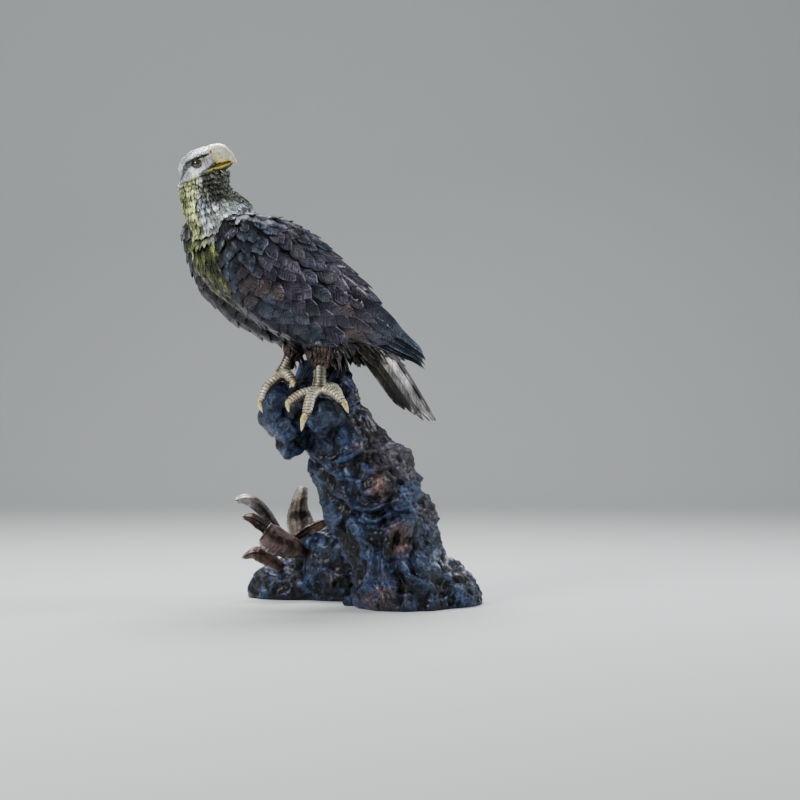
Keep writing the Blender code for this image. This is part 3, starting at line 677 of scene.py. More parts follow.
# %% Skin piece
FINE_RADIUS = 0.062
work = bmesh.new()
work.from_mesh(envelope)
near_head = [e for e in work.edges if all((v.co - Vector(head_centre)).length < FINE_RADIUS for v in e.verts)]
bmesh.ops.subdivide_edges(work, edges=near_head, cuts=3, use_grid_fill=True, smooth=0.3)
skin_mesh = bpy.data.meshes.new("skin_shape")
work.to_mesh(skin_mesh)
work.free()
skin_points, skin_normals, skin_faces = mesh_arrays(skin_mesh)
nose, _, crown = in_head(skin_points).T
on_face = 1 - smoothstep(0.052, 0.064, np.linalg.norm(skin_points - head_centre, axis=1))
on_face *= smoothstep(-0.042, -0.034, crown)
sunk = COAT_DEPTH + (FACE_DEPTH - COAT_DEPTH) * on_face
skin_points += skin_normals * (head_relief(skin_points) * on_face - sunk)[:, None]
FACE = BVHTree.FromPolygons(skin_points.tolist(), skin_faces)
# Painted shade: a low depth makes the skin near black where it shows between the body's feathers, and
# socket_shade darkens it in the eye's socket; only the face's skin is painted bright.
socket_shade = hill(skin_points, EYE_AHEAD, -EYE_DROP, 0.0125, 0.010)
skin_level = 0.12 + 0.58 * on_face * (1 - 0.9 * np.clip(socket_shade, 0, 1))
grain = np.column_stack([0.3 * skin_points[:, 1], -skin_points @ HEAD[0], 0 * nose])
make_piece("skin", skin_points, skin_faces, PALE_FEATHER, "silvered_feather", FLESH,
           tone=tone_at(skin_points), vane=grain, rim=0 * nose, depth=skin_level)

# %% [markdown]
# ## Vanes
# A cast feather is a thin curved plate, sunk into the body at its root and standing clear at its tip.
# One template grid serves them all: across from -1 to 1 and along from 0 to 1. The half width swells
# from the root and closes in a rounded or pointed end; the edges fall back near the tip. Every grid
# point is then dropped onto the nearest point of the body, so a vane hugs whatever lies under it, and
# lifted by a height that rises along the vane, with a raised shaft and drooping edges. An under side
# a millimetre below closes the plate.

# %% Vane builder


def template(rows, columns, point, fullness, notch=0.11):
    """Unit vane: half width = (root + swelling) x (1 - along^point)^0.5, and edges set back by notch."""
    t = np.linspace(0, 1, rows)[:, None] ** 0.85
    s = np.linspace(-1, 1, columns)[None, :]
    half = (0.55 + 0.45 * smoothstep(0, fullness, t)) * np.sqrt(1 - 0.93 * t**point)
    set_back = notch * np.abs(s) ** 2 * smoothstep(0.55, 1.0, t)
    return s * half, t - set_back, np.broadcast_to(s, (rows, columns)), np.broadcast_to(t, (rows, columns))


def plate_faces(rows, columns):
    """Faces of a closed plate: the top grid, the under grid turned over, and the wall round the rim."""
    top = grid_faces(rows, columns)
    rim = np.concatenate([np.arange(columns), np.arange(2, rows) * columns - 1, [rows * columns - 1],
                          (rows - 1) * columns + np.arange(columns - 2, -1, -1),
                          np.arange(rows - 2, 0, -1) * columns])
    after, under = np.roll(rim, -1), rows * columns
    wall = np.stack([rim, after, after + under, rim + under], -1)
    return np.concatenate([top[:, ::-1], top + under, wall])


# %% Plates to one piece


def assemble(name, top, bottom, wide, long, s, t, tint, uv, material, slot, replaces=(), open_root=0.0,
             band=1.0):
    """Closed plates from their top and bottom grids, with what the feather material reads."""
    count, rows, columns = wide.shape
    block = rows * columns * 2
    points = np.stack([top, bottom], axis=1).reshape(-1, 3)
    faces = (plate_faces(rows, columns)[None] + (np.arange(count) * block)[:, None, None]).reshape(-1, 4)
    label = np.broadcast_to(40 * lattice(np.arange(count)[:, None] * [3, 5, 7], 2)[:, None, None], wide.shape)
    vane = np.stack([wide, long, label], -1)
    vane = np.stack([vane, vane], axis=1).reshape(-1, 3)
    near_edge = np.maximum(np.abs(s) ** 3, smoothstep(0.84, 1.0, t)) * smoothstep(0.15, 0.5, t)
    rim = np.broadcast_to(np.stack([near_edge, near_edge * 0.7]), (count, 2, rows, columns))
    # Each vane's root gets a low depth, which the feather material paints dark as painted shade under the
    # vanes in front
    shown = open_root + (1 - open_root) * t
    deep = np.broadcast_to(np.stack([shown, 0.4 * shown]), (count, 2, rows, columns))
    shade = np.broadcast_to(band, (count, 2, rows, columns)).reshape(-1, 1)
    patch = np.stack([s * 0.0014, (t - 0.5) * 0.0028], -1)
    span = np.maximum(np.ptp(uv, axis=0), 1e-6)
    home = 0.01 + 0.98 * (uv - uv.min(axis=0)) / span
    bake = home[:, None, None, None] + np.stack([patch, patch * 0.8])[None]
    return make_piece(name, points, faces.tolist(), material, slot, replaces, bake.reshape(-1, 2),
                      tone=np.repeat(tint, block, axis=0) * shade, vane=vane, rim=rim, depth=deep)


# %% Vanes settled on the body


def settle(points, tree, reach):
    """Nearest surface points and normals; points further off than reach stay where they are."""
    flat = points.reshape(-1, 3)
    found, normal = flat.copy(), np.zeros_like(flat)
    for k, p in enumerate(flat):
        near, face_normal, _, distance = tree.find_nearest(p)
        if distance <= reach:
            found[k], normal[k] = near, face_normal
    return found.reshape(points.shape), normal.reshape(points.shape)


def make_vanes(name, tract, material, slot, rows=7, columns=5, point=4.0, lift=0.0022, sink=0.0022,
               thickness=0.0011, shaft=0.0004, camber=0.0012, reach=0.012, tree=None, flutter=0.3,
               tone=None, vary=0.22, open_root=0.0):
    """All the vanes of one tract as one mesh.

    Height = -sink (1 - along)^2 + lift along^1.5 + a shaft's ridge - camber |across|^2.5, waved by
    flutter. reach is how far off the body a point is still drawn onto it, vary how much the patina
    changes from feather to feather, and open_root how much light a root gets.
    """
    roots, lies, normals, lengths, widths, uv = (np.asarray(v, dtype=float) for v in tract)
    count = len(roots)
    chance = np.random.default_rng(count)
    sides = unit(np.cross(lies, normals))
    x, y, s, t = template(rows, columns, point, fullness=0.5)
    wave = np.sin(t[None] * math.pi * 2.3 + chance.uniform(0, 6, (count, 1, 1)) + 2 * s[None])
    wide = x * (widths / 2)[:, None, None] * (1 + 0.10 * flutter * wave)
    long = y * lengths[:, None, None]
    bow = chance.normal(0, 0.07, (count, 1, 1)) * long**2 / lengths[:, None, None]
    plane = (roots[:, None, None] + lies[:, None, None] * long[..., None]
             + sides[:, None, None] * (wide + bow)[..., None])
    settled, under_normal = settle(plane, tree or SURFACE, reach)
    own = normals[:, None, None] * np.ones_like(settled)
    up = unit(0.6 * under_normal + 0.4 * own)
    scale = (lengths / np.median(lengths))[:, None, None] ** 0.5
    proud = chance.uniform(0.6, 1.4, (count, 1, 1)) * scale
    height = (-sink * (1 - t) ** 2 + lift * t**1.5 * proud
              + shaft * np.exp(-((s / 0.16) ** 2)) * (1 - 0.5 * t)
              - camber * np.abs(s) ** 2.5 * (0.4 + 0.6 * t)
              + 0.18 * lift * s * chance.uniform(-1, 1, (count, 1, 1))
              + flutter * lift * wave * t**2 * (0.3 + np.abs(s)) * 0.5)
    top = settled + up * height[..., None]
    bottom = top - up * (thickness * (1.25 - 0.5 * t))[..., None]
    tint = tone_at(roots) if tone is None else tone * np.ones((count, 1))
    tint = tint * np.exp(chance.normal(0, vary, (count, 1))) * (1 + 0.035 * chance.normal(size=(count, 3)))
    return assemble(name, top, bottom, wide, long, s, t, tint, uv, material, slot, open_root=open_root)


# %% [markdown]
# ## Tracts
# Feathers grow in rows across the body, each row covering the gaps of the next. A tract is filled row
# by row: at each station along an axis, rays come in from all round it and stop at the body, and each
# hit is a feather's root. Its lie is a direction field laid flat on the body there. Alternate rows
# are shifted by half a feather. A vane whose tip, laid out straight, would miss the body is left out,
# so none sticks out like a spike where the body ends.

# %% Tract filler


def fill_tract(stations, ray, span, width, length, lie, seed, tree=None, jitter=0.22, pack=0.80):
    """Roots by rows: ray(station, angle) gives a start and a direction, span(station) the angles."""
    chance = np.random.default_rng(seed)
    found = []
    for row, station in enumerate(stations):
        low, high, radius = span(station)
        count = max(3, round((high - low) * radius / (width(station) * pack)))
        step = (high - low) / count
        for k in range(count):
            angle = low + (k + 0.5 * (row % 2) + 0.25 + jitter * chance.uniform(-1, 1)) * step
            start, direction = ray(station + jitter * chance.uniform(-1, 1) * width(station) * 0.5, angle)
            hit, normal, _, _ = (tree or SURFACE).ray_cast(Vector(start), Vector(direction), 0.4)
            if hit is None or normal.dot(Vector(direction)) > 0:
                continue
            hit, normal = np.array(hit), np.array(normal)
            flow = lie(hit, station, angle)
            flow = unit(flow - normal * flow.dot(normal))
            found.append((hit, flow, normal, length(station) * chance.uniform(0.86, 1.16),
                          width(station) * chance.uniform(0.88, 1.14), (angle % (2 * math.pi), row)))
    return [np.array(part, dtype=float) for part in zip(*found)]


def kept(tract, chosen):
    return [part[chosen] for part in tract]


def lying(tract, tree, slack=0.012):
    """Keeps the vanes whose tips, laid out straight, come near the side of the surface they grow on."""
    lies = []
    for tip, normal in zip(tract[0] + tract[1] * tract[3][:, None], tract[2]):
        _, under, _, distance = tree.find_nearest(Vector(tip))
        lies.append(distance < slack and under.dot(Vector(normal)) > 0)
    return kept(tract, np.array(lies, dtype=bool))


def steps(start, stop, spacing):
    """Stations from start to stop whose spacing is a function of where they are."""
    places, here, sign = [start], start, math.copysign(1, stop - start)
    while (stop - here) * sign > 0:
        here += sign * spacing(here)
        places.append(here)
    return places


# %% [markdown]
# ## Wings and back
# On a folded wing the coverts are small scales at the wrist, broad ones at mid wing, and then long
# narrow blades, tertials and quills, laid one over another towards the tip. Each wing's tract goes
# round the wing's own middle line. At the wrist the feathers turn down, further aft they run along
# the wing. The mantle between the wings and the breast are tracts round the trunk's axis, and every
# root is kept only where the body under it is the tract's own. The wing's lower edge and under side
# are painted nearly black, as painted shade.

# %% Which body lies under a point
TREES = [BVHTree.FromPolygons(points.tolist(), faces) for points, faces, _ in map(node_arrays, FLESH)]


def owner_of(points):
    """For each point the index in FLESH of the nearest CAD body."""
    gaps = np.array([[tree.find_nearest(Vector(p))[3] for tree in TREES] for p in points])
    return gaps.argmin(axis=1)


def owned(tract, *names):
    return kept(tract, np.isin(owner_of(tract[0]), [FLESH.index(name) for name in names]))


DRAPE_MESH = fused(FLESH + ["wing_left_primaries", "wing_right_primaries"], 0.0035, 4)
drape_points, _, drape_faces = mesh_arrays(DRAPE_MESH)
DRAPE = BVHTree.FromPolygons(drape_points.tolist(), drape_faces)

# %% Coverts


def wing_middle(side):
    """middle(station): the wing's middle line, from slices of its CAD body across the trunk's axis."""
    points = node_arrays(f"wing_{side}")[0]
    ahead = in_body(points)[:, 0]
    stations = np.linspace(ahead.min() + 0.025, ahead.max() - 0.025, 12)
    middles = np.array([points[np.abs(ahead - a) < 0.032].mean(axis=0) for a in stations])
    middles += (stations - in_body(middles)[:, 0])[:, None] * BODY[0]
    return lambda a: np.array([np.interp(a, stations, middles[:, k]) for k in range(3)]) + (
        a - np.clip(a, stations[0], stations[-1])) * BODY[0]


def covert_row(station):
    return np.interp(station, (-0.22, -0.12, -0.04, 0.04, 0.12, 0.20, 0.25),
                     (0.050, 0.050, 0.040, 0.031, 0.025, 0.019, 0.014))


def covert_length(station):
    return covert_row(station) * np.interp(station, (-0.20, 0.0, 0.24), (2.5, 2.3, 2.3))


def covert_width(station):
    return np.interp(station, (-0.22, -0.12, -0.04, 0.04, 0.12, 0.20, 0.25),
                     (0.021, 0.025, 0.033, 0.039, 0.037, 0.030, 0.020))


def covert_lie(hit, station, angle):
    """Backwards, turned down at the wrist and up along the rear of the wing's lower edge."""
    low = smoothstep(0.3, 1.5, angle)
    turn = math.radians(50) * smoothstep(0.02, 0.20, station) * low
    turn -= math.radians(16) * smoothstep(0.02, -0.14, station) * smoothstep(1.6, 2.6, angle)
    turn += math.radians(5) * smoothstep(0.0, -0.15, station) * (1 - low)
    return -BODY[0] * math.cos(turn) - BODY[2] * math.sin(turn)


for side, sign, wrap in (("left", 1, 1.25), ("right", -1, 0.50)):
    middle = wing_middle(side)

    def wing_ray(station, angle):
        """Towards the wing's upright core; angle 0 is its upper edge, a quarter turn its outside."""
        outward = math.cos(angle) * BODY[2] + math.sin(angle) * sign * BODY[1]
        core = middle(station) + 0.045 * math.cos(angle) * BODY[2]
        return core + outward * 0.22, -outward

    coverts = fill_tract(steps(0.246, -0.200, covert_row), wing_ray, lambda a: (-0.75, math.pi + wrap, 0.088),
                         covert_width, covert_length, covert_lie, seed=11, pack=0.72)
    coverts = owned(coverts, f"wing_{side}")
    coverts[3] *= 1 - 0.35 * smoothstep(-0.11, -0.19, in_body(coverts[0])[:, 0])
    coverts = lying(coverts, DRAPE, 0.020)
    under = (coverts[5][:, 0] > math.pi + 0.5) & (coverts[5][:, 0] < 5)
    flat = lying(kept(coverts, under), DRAPE, 0.006)
    coverts = [np.concatenate(pair) for pair in zip(kept(coverts, ~under), flat)]
    turned = coverts[5][:, 0]
    outside = 1 - smoothstep(math.pi + 0.30, math.pi + 0.60, turned) * (turned < 5)
    # Painted shade: the lower edge and under side of each wing are painted nearly black
    underside_shade = smoothstep(math.pi - 0.80, math.pi - 0.10, turned) * (turned < 5)
    coverts_tone = blend(tone_at(coverts[0], outside), srgb("#1d1a1a"), 0.75 * underside_shade)
    make_vanes(f"coverts_{side}", coverts, DARK_FEATHER, "dark_feather", rows=13, columns=9, point=5.0,
               lift=0.0055, sink=0.0040, thickness=0.0016, shaft=0.0008, camber=0.0026, flutter=0.35,
               tree=DRAPE, reach=0.020, tone=coverts_tone)

# %% [markdown]
# ## Mantle, breast and belly
# Over the back lie short broad scales; below, between the wings, the plumage is narrow pointed
# streaks with dark gaps, olive where the breast catches the light. At the vent long soft tufts hang
# down and close the gap between the thighs and the tail.

# %% Mantle and breast


def trunk_ray(station, angle):
    """From outside towards the trunk's axis; angle 0 is over the back, positive to the bird's left."""
    outward = math.cos(angle) * BODY[2] + math.sin(angle) * BODY[1]
    return on_body(station, 0, -0.004) + outward * 0.30, -outward


def mantle_row(station):
    return np.interp(station, (-0.20, 0.0, 0.20), (0.030, 0.024, 0.016))


mantle = fill_tract(steps(0.20, -0.21, mantle_row), trunk_ray, lambda a: (-1.1, 1.1, 0.100),
                    lambda a: mantle_row(a) * 1.15, lambda a: mantle_row(a) * 2.5,
                    lambda hit, a, angle: -BODY[0], seed=16, pack=0.78)
make_vanes("mantle", owned(mantle, "trunk"), DARK_FEATHER, "dark_feather", rows=9, columns=7, point=4.0,
           lift=0.0040, sink=0.0032, thickness=0.0014, shaft=0.0006, camber=0.0018, tree=DRAPE)


def breast_length(station):
    return np.interp(station, (-0.16, 0.0, 0.15, 0.25), (0.044, 0.040, 0.036, 0.028))


breast = fill_tract(steps(0.232, -0.215, lambda a: breast_length(a) * 0.36), trunk_ray,
                    lambda a: (1.3, 2 * math.pi - 1.3, 0.100), lambda a: 0.0105, breast_length,
                    lambda hit, a, angle: -BODY[0] - 0.25 * BODY[2] * smoothstep(0.1, 0.2, a), seed=12)
make_vanes("breast_feathers", lying(owned(breast, "trunk"), SURFACE), DARK_FEATHER, "dark_feather", rows=6,
           columns=5, point=2.4, lift=0.0018, sink=0.0024, thickness=0.0010, camber=0.0012, vary=0.35)

# %% Vent tufts
vent = fill_tract(steps(-0.04, -0.26, lambda a: 0.009), trunk_ray, lambda a: (1.2, 2 * math.pi - 1.2, 0.080),
                  lambda a: 0.012, lambda a: 0.044, lambda hit, a, angle: np.array([0.30, 0.0, -1.0]),
                  seed=14)
hung = vent[0] - SHIFT
vent = owned(kept(vent, (hung[:, 0] > -0.050) & (hung[:, 0] < 0.080) & (hung[:, 2] < 0.600)), "trunk")
make_vanes("vent_tufts", vent, DARK_FEATHER, "dark_feather", rows=6, columns=5, point=2.2, lift=0.0030,
           sink=0.0022, thickness=0.0012, camber=0.0010, tone=TONES["belly"], vary=0.35)

# %% [markdown]
# ## Neck
# The neck's hackles are lance-shaped and grow longer and broader towards the shoulders, where they
# spread over breast and back. Their axis is the line from the head's middle down into the trunk.

# %% Hackles
neck_line = smooth_through([head_centre + step for step in (
    (0.010, 0.000, -0.012), (0.018, -0.002, -0.040), (0.029, 0.004, -0.080), (0.050, 0.015, -0.118),
    (0.072, 0.032, -0.150), (0.098, 0.050, -0.172))], 60)
neck_heading, _, _, neck_run = moving_frame(neck_line, (1, 0, 0))


def along_neck(run, table):
    return np.array([np.interp(run, neck_run, table[:, k]) for k in range(3)])


def neck_ray(station, angle):
    """Towards the neck's line; angle 0 points at the room's +X, a quarter turn further to the front."""
    heading = unit(along_neck(station, neck_heading))
    across = unit(np.array([1.0, 0, 0]) - heading * heading[0])
    outward = math.cos(angle) * across + math.sin(angle) * np.cross(heading, across)
    return along_neck(station, neck_line) + outward * 0.24, -outward


def hackle_length(run):
    return np.interp(run, (0, 0.05, 0.10, 0.16, 0.20), (0.014, 0.022, 0.029, 0.036, 0.040))


def hackle_width(run):
    return np.interp(run, (0, 0.05, 0.10, 0.16, 0.20), (0.0066, 0.0092, 0.0125, 0.0150, 0.0170))


def neck_lie(hit, station, angle):
    """Down the neck, and over the shoulders more and more back along the trunk."""
    on_back = smoothstep(0.02, 0.09, in_body(hit[None])[0, 2])
    return along_neck(station, neck_heading) - 1.2 * BODY[0] * on_back * smoothstep(0.06, 0.15, station)


hackles = fill_tract(steps(0.190, 0.014, lambda run: hackle_length(run) * 0.40), neck_ray,
                     lambda run: (-math.pi, math.pi, np.interp(run, (0, 0.2), (0.050, 0.105))),
                     hackle_width, hackle_length, neck_lie, seed=13)
below_face = in_head(hackles[0])
hackles = kept(hackles, (below_face[:, 2] < -0.029) | (below_face[:, 0] < -0.040))
hackles = owned(hackles, "neck", "head", "trunk")
make_vanes("neck_hackles", hackles, PALE_FEATHER, "silvered_feather", rows=7, columns=5, point=3.0,
           lift=0.0026, sink=0.0034, thickness=0.0012, camber=0.0012, shaft=0.0005, reach=0.03, vary=0.65)

# %% [markdown]
# ## Thighs
# The thighs' short red-brown tufts hang down over the top of the bare shank. Those at the rear are
# longer, darker and swept back, as on a real eagle's trousers.

# %% Thigh tufts
THIGH_RINGS = 40
thigh_parts = []
for side, drawn_line in (("left", [(-0.006, -0.010, 0.625), (-0.012, -0.026, 0.590), (-0.018, -0.042, 0.556),
                                   (-0.022, -0.052, 0.530), (-0.023, -0.056, 0.516)]),
                         ("right", [(-0.060, 0.050, 0.630), (-0.072, 0.050, 0.598), (-0.084, 0.046, 0.570),
                                    (-0.091, 0.042, 0.550), (-0.095, 0.041, 0.540)])):
    line = smooth_through(np.array(drawn_line) + SHIFT, THIGH_RINGS)
    heading, beside, _, _ = moving_frame(line, (0, 1, 0))

    def thigh_ray(station, angle):
        pick = int(np.clip(station, 0, 1) * (THIGH_RINGS - 1))
        outward = math.cos(angle) * beside[pick] + math.sin(angle) * np.cross(heading[pick], beside[pick])
        return line[pick] + outward * 0.10, -outward

    tufts = fill_tract(steps(0.05, 0.90, lambda a: 0.085), thigh_ray,
                       lambda a: (-math.pi, math.pi, np.interp(a, (0, 1), (0.052, 0.016))),
                       lambda a: 0.0095, lambda a: np.interp(a, (0, 1), (0.034, 0.020)),
                       lambda hit, a, angle: heading[int(a * (THIGH_RINGS - 1))], seed=15)
    rear = smoothstep(0.005, 0.030, (tufts[0] - centre_of(f"thigh_{side}"))[:, 0])
    tufts[1] = unit(tufts[1] + np.outer(0.45 * rear, (1, 0, 0)))
    tufts[3] *= 1 + 0.75 * rear
    tufts[5][:, 1] += 40 * (side == "right")
    thigh_parts.append(tufts)
thighs = owned([np.concatenate(pair) for pair in zip(*thigh_parts)], "thigh_left", "thigh_right")
at_rear = smoothstep(-0.010, 0.020, (thighs[0] - SHIFT)[:, 0])
make_vanes("thigh_tufts", thighs, DARK_FEATHER, "thigh_feather", rows=6, columns=5, point=2.2, lift=0.0030,
           sink=0.0022, thickness=0.0012, camber=0.0010, vary=0.35, reach=0.014,
           tone=washes(len(at_rear), "#483a31", ("#28211e", 0.85 * at_rear)))

# %% [markdown]
# ## Head
# The face's feathers are the smallest, a few millimetres of flat scale that flow back from the beak,
# over the brow and round the eye. They sit on the modelled skin, so brow and socket show through.

# %% Face feathers


def head_ray(station, angle):
    outward = math.cos(angle) * HEAD[2] + math.sin(angle) * HEAD[1]
    return on_head(station, 0, -0.006) + outward * 0.08, -outward


def face_radius(station):
    return np.interp(station, (-0.04, -0.02, 0.0, 0.04), (0.018, 0.031, 0.034, 0.024))


def face_lie(hit, station, angle):
    """Backwards, swerving down behind the eye."""
    nose = in_head(hit[None])[0, 0]
    return -HEAD[0] - HEAD[2] * (0.15 + 0.75 * smoothstep(0.01, -0.035, nose))


face = fill_tract(steps(-0.042, 0.040, lambda u: 0.0036), head_ray, lambda u: (-2.45, 2.45, face_radius(u)),
                  lambda u: 0.0048, lambda u: np.interp(u, (-0.04, 0.0, 0.04), (0.0125, 0.0098, 0.0065)),
                  face_lie, seed=14, tree=FACE)
eye_gap = np.min([np.linalg.norm(face[0] - centre_of(f"eye_{side}"), axis=1) for side in ("left", "right")],
                 axis=0)
face = kept(face, (eye_gap > 0.0125) & (in_head(face[0])[:, 2] > -0.037))
make_vanes("face_feathers", face, PALE_FEATHER, "silvered_feather", rows=5, columns=4, point=2.6, lift=0.0013,
           sink=0.0010, thickness=0.0007, camber=0.0004, shaft=0.0002, tree=FACE, reach=0.006, vary=0.16,
           open_root=0.40)

# %% [markdown]
# ## Eyes
# A bald eagle's eye is a big glossy ball under a flat brow. Each is a sphere on a grid of longitude and
# latitude whose pole looks outwards, so that the iris is a matter of the angle from the pole. A lid is
# a thin ring laid on the ball: a tube carried round a closed curve that is flatter above.

# %% Spheres about a pole


def ball(centre, pole, radius, rows=28, columns=36):
    """Sphere about a pole by latitude and longitude, and each point's angle from it over 45 degrees."""
    latitude = np.linspace(0.02, math.pi - 0.02, rows)[:, None]
    longitude = np.linspace(0, 2 * math.pi, columns, endpoint=False)[None, :]
    across = unit(np.cross(pole, [0, 0, 1]))
    other = np.cross(pole, across)
    spoke = np.cos(longitude)[..., None] * across + np.sin(longitude)[..., None] * other
    points = centre + radius * (np.cos(latitude)[..., None] * pole + np.sin(latitude)[..., None] * spoke)
    faces = grid_faces(rows, columns, wrap=True).tolist()
    faces += [list(range(columns))[::-1], [(rows - 1) * columns + k for k in range(columns)]]
    return points.reshape(-1, 3), faces, np.broadcast_to(latitude / (math.pi / 4), (rows, columns))


# %% Eyeballs and lids
LID_STEPS, LID_SIDES = 56, 10
for side, sign in (("left", 1), ("right", -1)):
    middle = centre_of(f"eye_{side}")
    pole = unit(HEAD[1] * sign + HEAD[0] * 0.22 - HEAD[2] * 0.02)
    points, faces, angle = ball(middle, pole, EYE_RADIUS)
    make_piece(f"eyeball_{side}", points, faces, EYE, "eye", [f"eye_{side}"], iris=angle)
    turn = np.linspace(0, 2 * math.pi, LID_STEPS, endpoint=False)[:, None]
    thick = np.linspace(0, 2 * math.pi, LID_SIDES, endpoint=False)[None, :]
    rise = np.where(np.sin(turn) > 0, 0.74, 1.0) * np.sin(turn)
    spread = HEAD[0] * 1.04 * np.cos(turn)[..., None] + HEAD[2] * rise[..., None]
    ring = middle + (EYE_RADIUS + 0.0001) * unit(spread + pole * 0.46)
    out = unit(ring - middle)
    beside = unit(np.cross(out, np.gradient(ring[:, 0], axis=0)[:, None]))
    bead = (0.0011 - 0.0003 * np.sin(turn))[..., None]
    lid = ring + bead * (0.8 * out * np.cos(thick)[..., None] + 1.2 * beside * np.sin(thick)[..., None])
    first, end = np.arange(LID_SIDES), (LID_STEPS - 1) * LID_SIDES
    after = (first + 1) % LID_SIDES
    closing = np.stack([end + first, end + after, after, first], -1)
    lower = smoothstep(0.2, -0.4, np.sin(turn)) * (0.65 + 0.35 * np.cos(turn)) * np.ones_like(thick)
    faces = np.vstack([grid_faces(LID_STEPS, LID_SIDES, wrap=True), closing]).tolist()
    make_piece(f"eyelid_{side}", lid.reshape(-1, 3), faces, GILT_FOOT, "silvered_feather",
               relief=0.10 + 0.75 * lower, tone=washes(lower.size, "#16140e", ("#93796c", lower)))

# %% [markdown]
# ## Beak
# The upper beak is a deep hook: a tube whose middle line bends down, narrow along its ridge, whose
# lower edges overhang a darker hollow. The cere, a soft swelling with the nostril, caps its root. The
# lower one is a shallow trough closed under the tip of the hook. Old gold is rubbed bright on top and
# strong yellow along the cutting edges.

# %% Upper beak


def spindle(route, rings):
    """Path and half widths and heights through stations of ahead, up, half width, half height."""
    table = smooth_through(route, rings)
    path = head_centre + table[:, :1] * HEAD[0] + table[:, 1:2] * HEAD[2]
    return path, table[:, 2:3], table[:, 3:4]


BEAK_RINGS, BEAK_SIDES = 72, 56
BEAK_ROUTE = [(0.0320, 0.0028, 0.0156, 0.0218), (0.0475, 0.0010, 0.0150, 0.0228),
              (0.0573, -0.0022, 0.0132, 0.0216), (0.0663, -0.0085, 0.0111, 0.0179),
              (0.0743, -0.0150, 0.0089, 0.0123), (0.0792, -0.0213, 0.0065, 0.0073),
              (0.0818, -0.0268, 0.0045, 0.0048), (0.0834, -0.0315, 0.0026, 0.0029),
              (0.0844, -0.0352, 0.0006, 0.0006)]
beak_path, beak_wide, beak_high = spindle(BEAK_ROUTE, BEAK_RINGS)
LIP = 0.62     # a cutting edge lies this share of the half width from the middle
HOLLOW = 0.30  # how far the under side is hollowed between them, in half heights


def beak_section(run, turn):
    """Narrow ridge above, straight sides, and below two cutting edges with a hollow between them."""
    across, high = np.cos(turn), np.sin(turn)
    narrow = 1 - 0.34 * np.clip(high, 0, 1) ** 2
    root = 1 - smoothstep(0.010, 0.0135, run)
    swelling = 1 + 0.05 * root
    flare = 0.20 * (1 - smoothstep(0.009, 0.020, run)) * (1 - smoothstep(0.3, 0.8, high))
    hollow = HOLLOW * np.clip(1 - (across / LIP) ** 2, 0, 1) * smoothstep(0.002, 0.02, run)
    below = -np.abs(high) ** 0.7 + hollow
    level = np.where(high < 0, below / 0.86, high)
    nostril = np.exp(-((run - 0.0115) / 0.0024) ** 2 - ((high - 0.20) / 0.12) ** 2)
    side = np.sign(across) * np.abs(across) ** 0.86
    return side * narrow * (swelling + flare) * beak_wide * (1 - 0.24 * nostril), level * swelling * beak_high


points, faces = tube(beak_path, HEAD[2], beak_section, BEAK_SIDES)
_, _, _, beak_run = moving_frame(beak_path, HEAD[2])
turn = np.linspace(0, 2 * math.pi, BEAK_SIDES, endpoint=False)[None, :]
run_grid, level = np.broadcast_arrays(beak_run[:, None], np.sin(turn))
tomium = np.exp(-((level + 0.66) / 0.46) ** 2) * smoothstep(0.002, 0.02, run_grid)
cere = 1 - smoothstep(0.0115, 0.0150, run_grid + 0.004 * level)
nostril = np.exp(-((run_grid - 0.0115) / 0.0028) ** 2 - ((level - 0.20) / 0.15) ** 2)
groove = np.exp(-((run_grid + 0.004 * level - 0.0150) / 0.0011) ** 2)
beak_tone = washes(level.size, "#dcd9c8", ("#c9bf3a", 0.95 * tomium),
                   ("#cfccb2", 0.7 * cere * (1 - tomium)), ("#f6f4ee", smoothstep(0.60, 0.95, level) * 0.9))
beak_level = 0.85 - 0.8 * np.clip(nostril + 0.30 * groove, 0, 1) - 0.85 * smoothstep(-0.86, -0.95, level)
make_piece("beak_hook", points, faces, GILT_BEAK, "beak_claw", ["beak_upper"], tone=beak_tone,
           relief=beak_level)

# %% Lower beak and tongue
JAW_RINGS, JAW_SIDES = 44, 36
JAW_ROUTE = [(0.0040, -0.0300, 0.0268, 0.0034), (0.0130, -0.0300, 0.0250, 0.0046),
             (0.0240, -0.0304, 0.0206, 0.0052), (0.0360, -0.0312, 0.0156, 0.0053),
             (0.0480, -0.0320, 0.0118, 0.0050), (0.0600, -0.0324, 0.0088, 0.0048),
             (0.0700, -0.0312, 0.0053, 0.0040), (0.0770, -0.0290, 0.0012, 0.0012)]
jaw_path, jaw_wide, jaw_high = spindle(JAW_ROUTE, JAW_RINGS)


def jaw_section(run, turn):
    """Trough: rounded below, a raised rim along both sides above."""
    across, high = np.cos(turn), np.sin(turn)
    rimmed = 0.55 + 0.45 * np.clip(np.abs(across) / 0.75, 0, 1) ** 3
    level = np.where(high > 0, np.abs(high) ** 0.5 * rimmed, high)
    return np.sign(across) * np.abs(across) ** 0.7 * jaw_wide, level * jaw_high


points, faces = tube(jaw_path, HEAD[2], jaw_section, JAW_SIDES)
turn = np.linspace(0, 2 * math.pi, JAW_SIDES, endpoint=False)
level = np.broadcast_to(np.sin(turn), (JAW_RINGS, JAW_SIDES))
at_root = 1 - smoothstep(0.15, 0.5, np.linspace(0, 1, JAW_RINGS))
# The jaw is olive on its lower side: partly patina, partly painted shade under it
jaw_tone = washes(level.size, "#c2bb48", ("#53541f", smoothstep(0.30, -0.45, level)),
                  ("#d8d4b4", np.repeat(at_root, JAW_SIDES) * 0.7))
make_piece("beak_jaw", points, faces, GILT_BEAK, "beak_claw", ["beak_lower"], tone=jaw_tone,
           relief=0.85 - 0.8 * smoothstep(0.85, 0.98, level))

